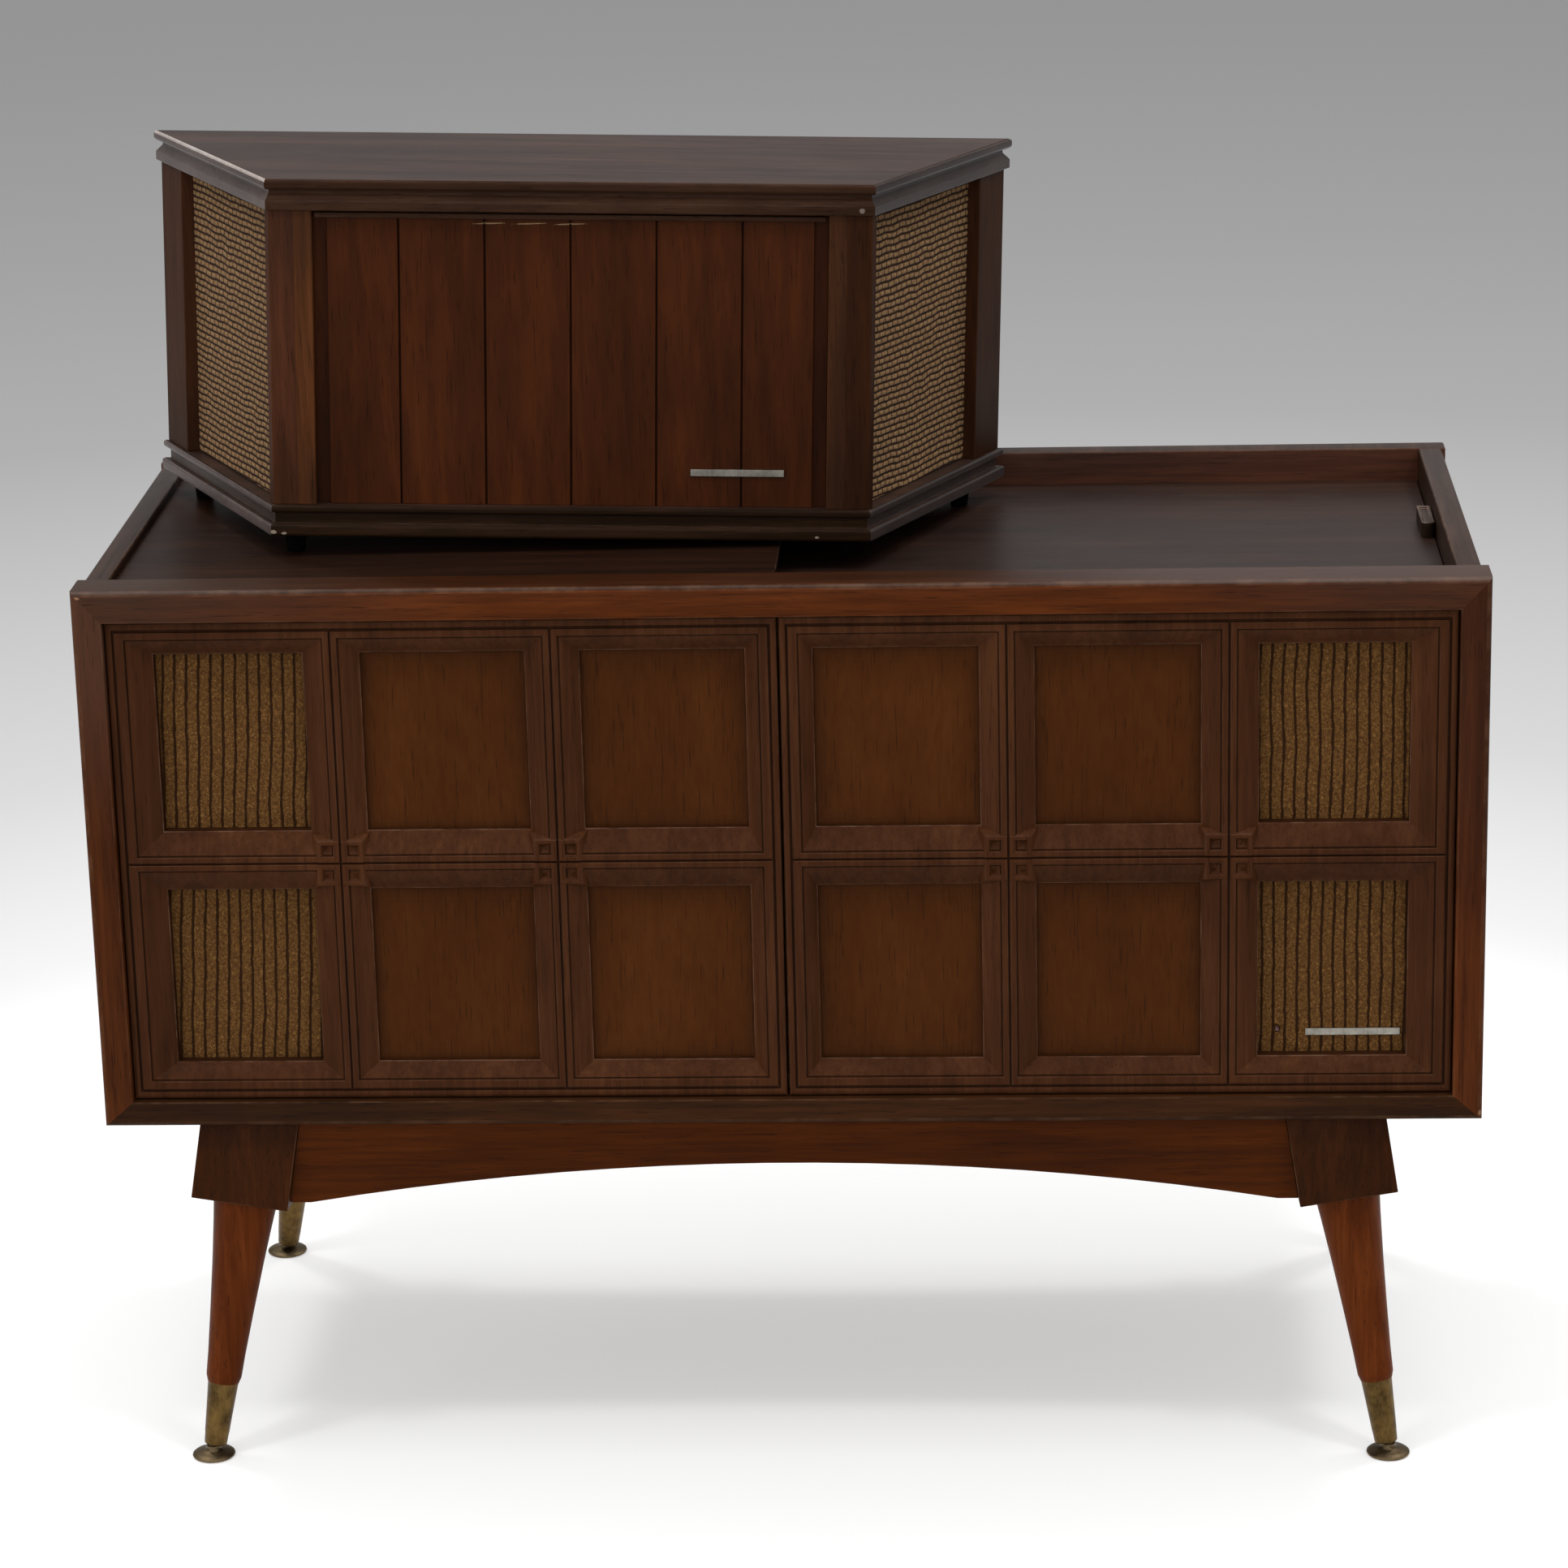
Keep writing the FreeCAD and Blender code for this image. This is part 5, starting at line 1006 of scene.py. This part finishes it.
def platter_and_mat():
    """The pressed platter and the rings of its rubber mat."""
    low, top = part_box("platter")[0].z / MM, PLATTER_TOP
    dish = [(3.8, low), (17.6, low), (18, low + 0.4), (18, top - 3), (135.6, top - 3), (135.9, top - 9),
            (136.4, top - 9), (139.6, top - 8.8), (140, top - 8.2), (140, top - 1.8), (139.2, top - 0.5),
            (138, top), (3.8, top), (3.8, low)]
    mat = [(5, top), (5, top + 2.4), (5.5, top + 3)]
    r = 10.0
    while r < 134:
        mat += [(r, top + 3), (r + 0.5, top + 2.1), (r + 1.1, top + 2.1), (r + 1.6, top + 3)]
        r += 4.6 if (r < 48 or r > 60) else 12
    mat += [(137.4, top + 3), (138, top + 2.4), (138, top), (5, top)]
    stand = shifted(*PLATTER, 0)
    spun("platter_pressing", "platter", "steel", platter_metal, "platter", 30, dish, 128, stand)
    spun("ribbed_mat", "platter", "mat_rubber", rubber, "platter_mat", 30, mat, 128, stand)


def number(word, x, y, z):
    """A printed number, flat, as a bmesh."""
    curve = bpy.data.curves.new("number", "FONT")
    curve.body = word
    curve.size = 6.4
    curve.align_x = curve.align_y = "CENTER"
    holder = bpy.data.objects.new("number", curve)
    mesh = bpy.data.meshes.new_from_object(holder)
    bm = bmesh.new()
    bm.from_mesh(mesh)
    turned(bm, shifted(x, y, z) @ Matrix.Scale(MM, 4))
    bpy.data.objects.remove(holder)
    bpy.data.curves.remove(curve)
    bpy.data.meshes.remove(mesh)
    return bm


def dial_face():
    """The printed scale under the dial glass: lines and plain numbers."""
    card = bmesh.new()
    placed_box(card, (27.5, 60), (-106, 106), (DIAL_CARD - 0.05, DIAL_CARD))
    piece("dial_card", card, CASE, "enamel", dial_paint)
    ink = (DIAL_CARD, DIAL_CARD + 0.08)
    marks = bmesh.new()
    for n in range(41):
        y = -100 + n * 5
        reach = 7 if n % 5 == 0 else 3.5
        for x in (30, 57.5 - reach):
            placed_box(marks, (x, x + reach), (y - 0.25, y + 0.25), ink)
    for x in (39.5, 48):
        placed_box(marks, (x - 0.2, x + 0.2), (-103, 103), ink)
    for x, words in ((38, (54, 60, 70, 80, 100, 120, 160)), (48, (88, 92, 96, 100, 104, 106, 108))):
        for n, word in enumerate(words):
            joined(marks, number(str(word), x, n * 29 - 87, ink[1]))
    piece("dial_marks", marks, CASE, "knob_plastic", dial_ink)


def on_spindle(face):
    spot = face.calc_center_median() / MM
    return 1 if math.hypot(spot.x - PLATTER[0], spot.y - PLATTER[1]) < 6 else 0


def inner_pieces():
    """What the case holds, eased or dressed in its own shape."""
    platter_and_mat()
    knobs()
    dial_face()
    eased("control_panel", CASE, "bright_trim", panel_metal, 0.6)
    eased("changer_plate", CASE, "enamel", [deck_enamel, steel], 0.5, choose=on_spindle)
    for body, slot, material, width, segments, angle in (
            ("tonearm", "enamel", arm_enamel, 0.5, 2, 35),
            ("tonearm_turret", "enamel", arm_enamel, 0.5, 2, 35),
            ("record_arm", "steel", steel, 0.5, 2, 35),
            ("start_lever", "knob_plastic", knob_plastic, 0.8, 3, 30),
            ("speed_lever", "knob_plastic", knob_plastic, 0.5, 2, 30),
            ("power_button", "enamel", arm_enamel, 0.7, 3, 30),
            ("dial_pointer", "bright_trim", pointer_red, 0.1, 1, 30)):
        eased(body, body, slot, material, width, segments, angle)
    eased("amplifier_chassis", CASE, "steel", steel, 0.6)
    eased("power_transformer", CASE, "enamel", iron_black, 0.8)
    eased("changer_motor", CASE, "steel", iron_black, 0.6)
    dressed(glass, "dial_glass")
    dressed(valve_glass, "amplifier_valves")
    dressed(steel, "changer_springs", "leg_bolts")
    dressed(inner_wood, "deck_boards", "bottom_board", "panel_tracks", "speaker_baffles",
            "speaker_side_baffles")
    dressed(inner_upright, "bay_walls", "case_battens")
    dressed(cone_paper, "woofers", "tweeters", "speaker_drivers")
    dressed(hardboard, "back_panel", "speaker_back_panel")
    dressed(iron_black, "back_panel_fittings", "speaker_back_fittings")
    dressed(shaded_felt, "speaker_feet")


# Stage, lights and camera, in metres

FLOOR_RADIUS = 12
FOCAL_PIXELS, PICTURE_PIXELS, SENSOR = 6085.8357, 1932, 36
CAMERA_SPOT = (0.19999, -3.95788, 1.76347)
CAMERA_PITCH, CAMERA_LEAN, CAMERA_TURN = -0.3052, 0.0245, 0.0528


def grey(value):
    return linear((value, value, value))


def stage():
    """A pale floor that pales towards the object, as a studio sweep does."""
    bm = bmesh.new()
    bmesh.ops.create_circle(bm, cap_ends=True, segments=96, radius=FLOOR_RADIUS)
    floor = linked("floor", mesh_of("floor", bm))
    f = Finish("studio_floor")
    length = f.add("VectorMath", {0: f.place()}, operation="LENGTH").outputs["Value"]
    shown = f.ramp(f.maths("DIVIDE", length, FLOOR_RADIUS),
                   [(reach / FLOOR_RADIUS, (tone, tone, tone)) for reach, tone in (
                       (0.9, 255), (1.3, 224), (1.9, 202), (3.6, 172), (4.9, 167), (7.4, 161))])
    pale = f.add("BsdfDiffuse", {"Color": f.mix(1.0, shown, grey(226), "MULTIPLY")})
    glow = f.add("Emission", {"Color": f.mix(1.0, shown, grey(155), "MULTIPLY")})
    dull = f.add("BsdfDiffuse", {"Color": grey(150)})
    path = f.add("LightPath").outputs
    mirrored = f.maths("MAXIMUM", path["Is Glossy Ray"], path["Is Transmission Ray"])
    seen = f.maths("MAXIMUM", path["Is Camera Ray"], mirrored)
    lit = f.add("AddShader", {0: pale.outputs[0], 1: glow.outputs[0]}).outputs[0]
    both = f.add("MixShader", {0: seen, 1: dull.outputs[0], 2: lit}).outputs[0]
    f.join(both, f.output.inputs["Surface"])
    f.tree.nodes.remove(f.shader)
    floor.data.materials.append(f.material)


def world():
    """A grey backdrop for the camera and for reflections, in a white surround."""
    sky = bpy.data.worlds.new("studio")
    bpy.context.scene.world = sky
    w = Nodes(sky)
    lit = w.add("Background", {"Color": (1, 1, 1, 1), "Strength": 0.62}).outputs[0]
    seen = w.add("Background", {"Color": grey(151)}).outputs[0]
    path = w.add("LightPath").outputs
    rays = {0: path["Is Camera Ray"], 1: path["Is Glossy Ray"]}
    either = w.add("Math", rays, operation="MAXIMUM").outputs[0]
    mix = w.add("MixShader", {0: either, 1: lit, 2: seen}).outputs[0]
    w.add("OutputWorld", {"Surface": mix})


def lamp(name, place, target, size, power):
    """A soft square lamp turned to a point, in metres and watts."""
    data = bpy.data.lights.new(name, "AREA")
    data.shape = "RECTANGLE"
    data.size, data.size_y = size
    data.energy = power
    made = linked(name, data)
    made.location = place
    made.rotation_euler = (Vector(target) - Vector(place)).to_track_quat("-Z", "Y").to_euler()


def camera():
    """The camera of the photograph: a long lens on the right of the middle, looking a little down."""
    data = bpy.data.cameras.new("camera")
    data.sensor_fit = "HORIZONTAL"
    data.sensor_width = SENSOR
    data.lens = FOCAL_PIXELS * SENSOR / PICTURE_PIXELS
    data.clip_end = 100
    made = linked("camera", data)
    r = (Matrix.Rotation(CAMERA_TURN, 3, "Z") @ Matrix.Rotation(CAMERA_PITCH, 3, "X")
         @ Matrix.Rotation(CAMERA_LEAN, 3, "Y"))
    look = Matrix((r.col[0], r.col[2], -r.col[1])).transposed()
    made.matrix_world = Matrix.Translation(CAMERA_SPOT) @ look.to_4x4()
    bpy.context.scene.camera = made


camera()
world()
lamp("overhead", (0, 0.05, 3.4), (0, 0, 0.6), (3.2, 2.2), 36)
lamp("front_fill", (-0.6, -5.2, 2.0), (0, 0, 0.5), (4.5, 3.0), 46)
for side, depth in SIGNS:
    lamp("corner", (side * 2.4, depth * 1.9, 5.0), (0, 0, 0.3), (0.7, 0.7), 39)
lamp("left_window", (-4.2, -2.2, 1.8), (-0.2, 0, 0.8), (2.4, 2.6), 22)
stage()
bpy.context.scene.view_settings.view_transform = "Standard"

front_frame()
grille_frame(1)
grille_frame(-1)
veneer_panels()
console_cloths()
legs()
speaker_cloths()
case_boards()
speaker_boards()
pilot_jewel()
inner_pieces()
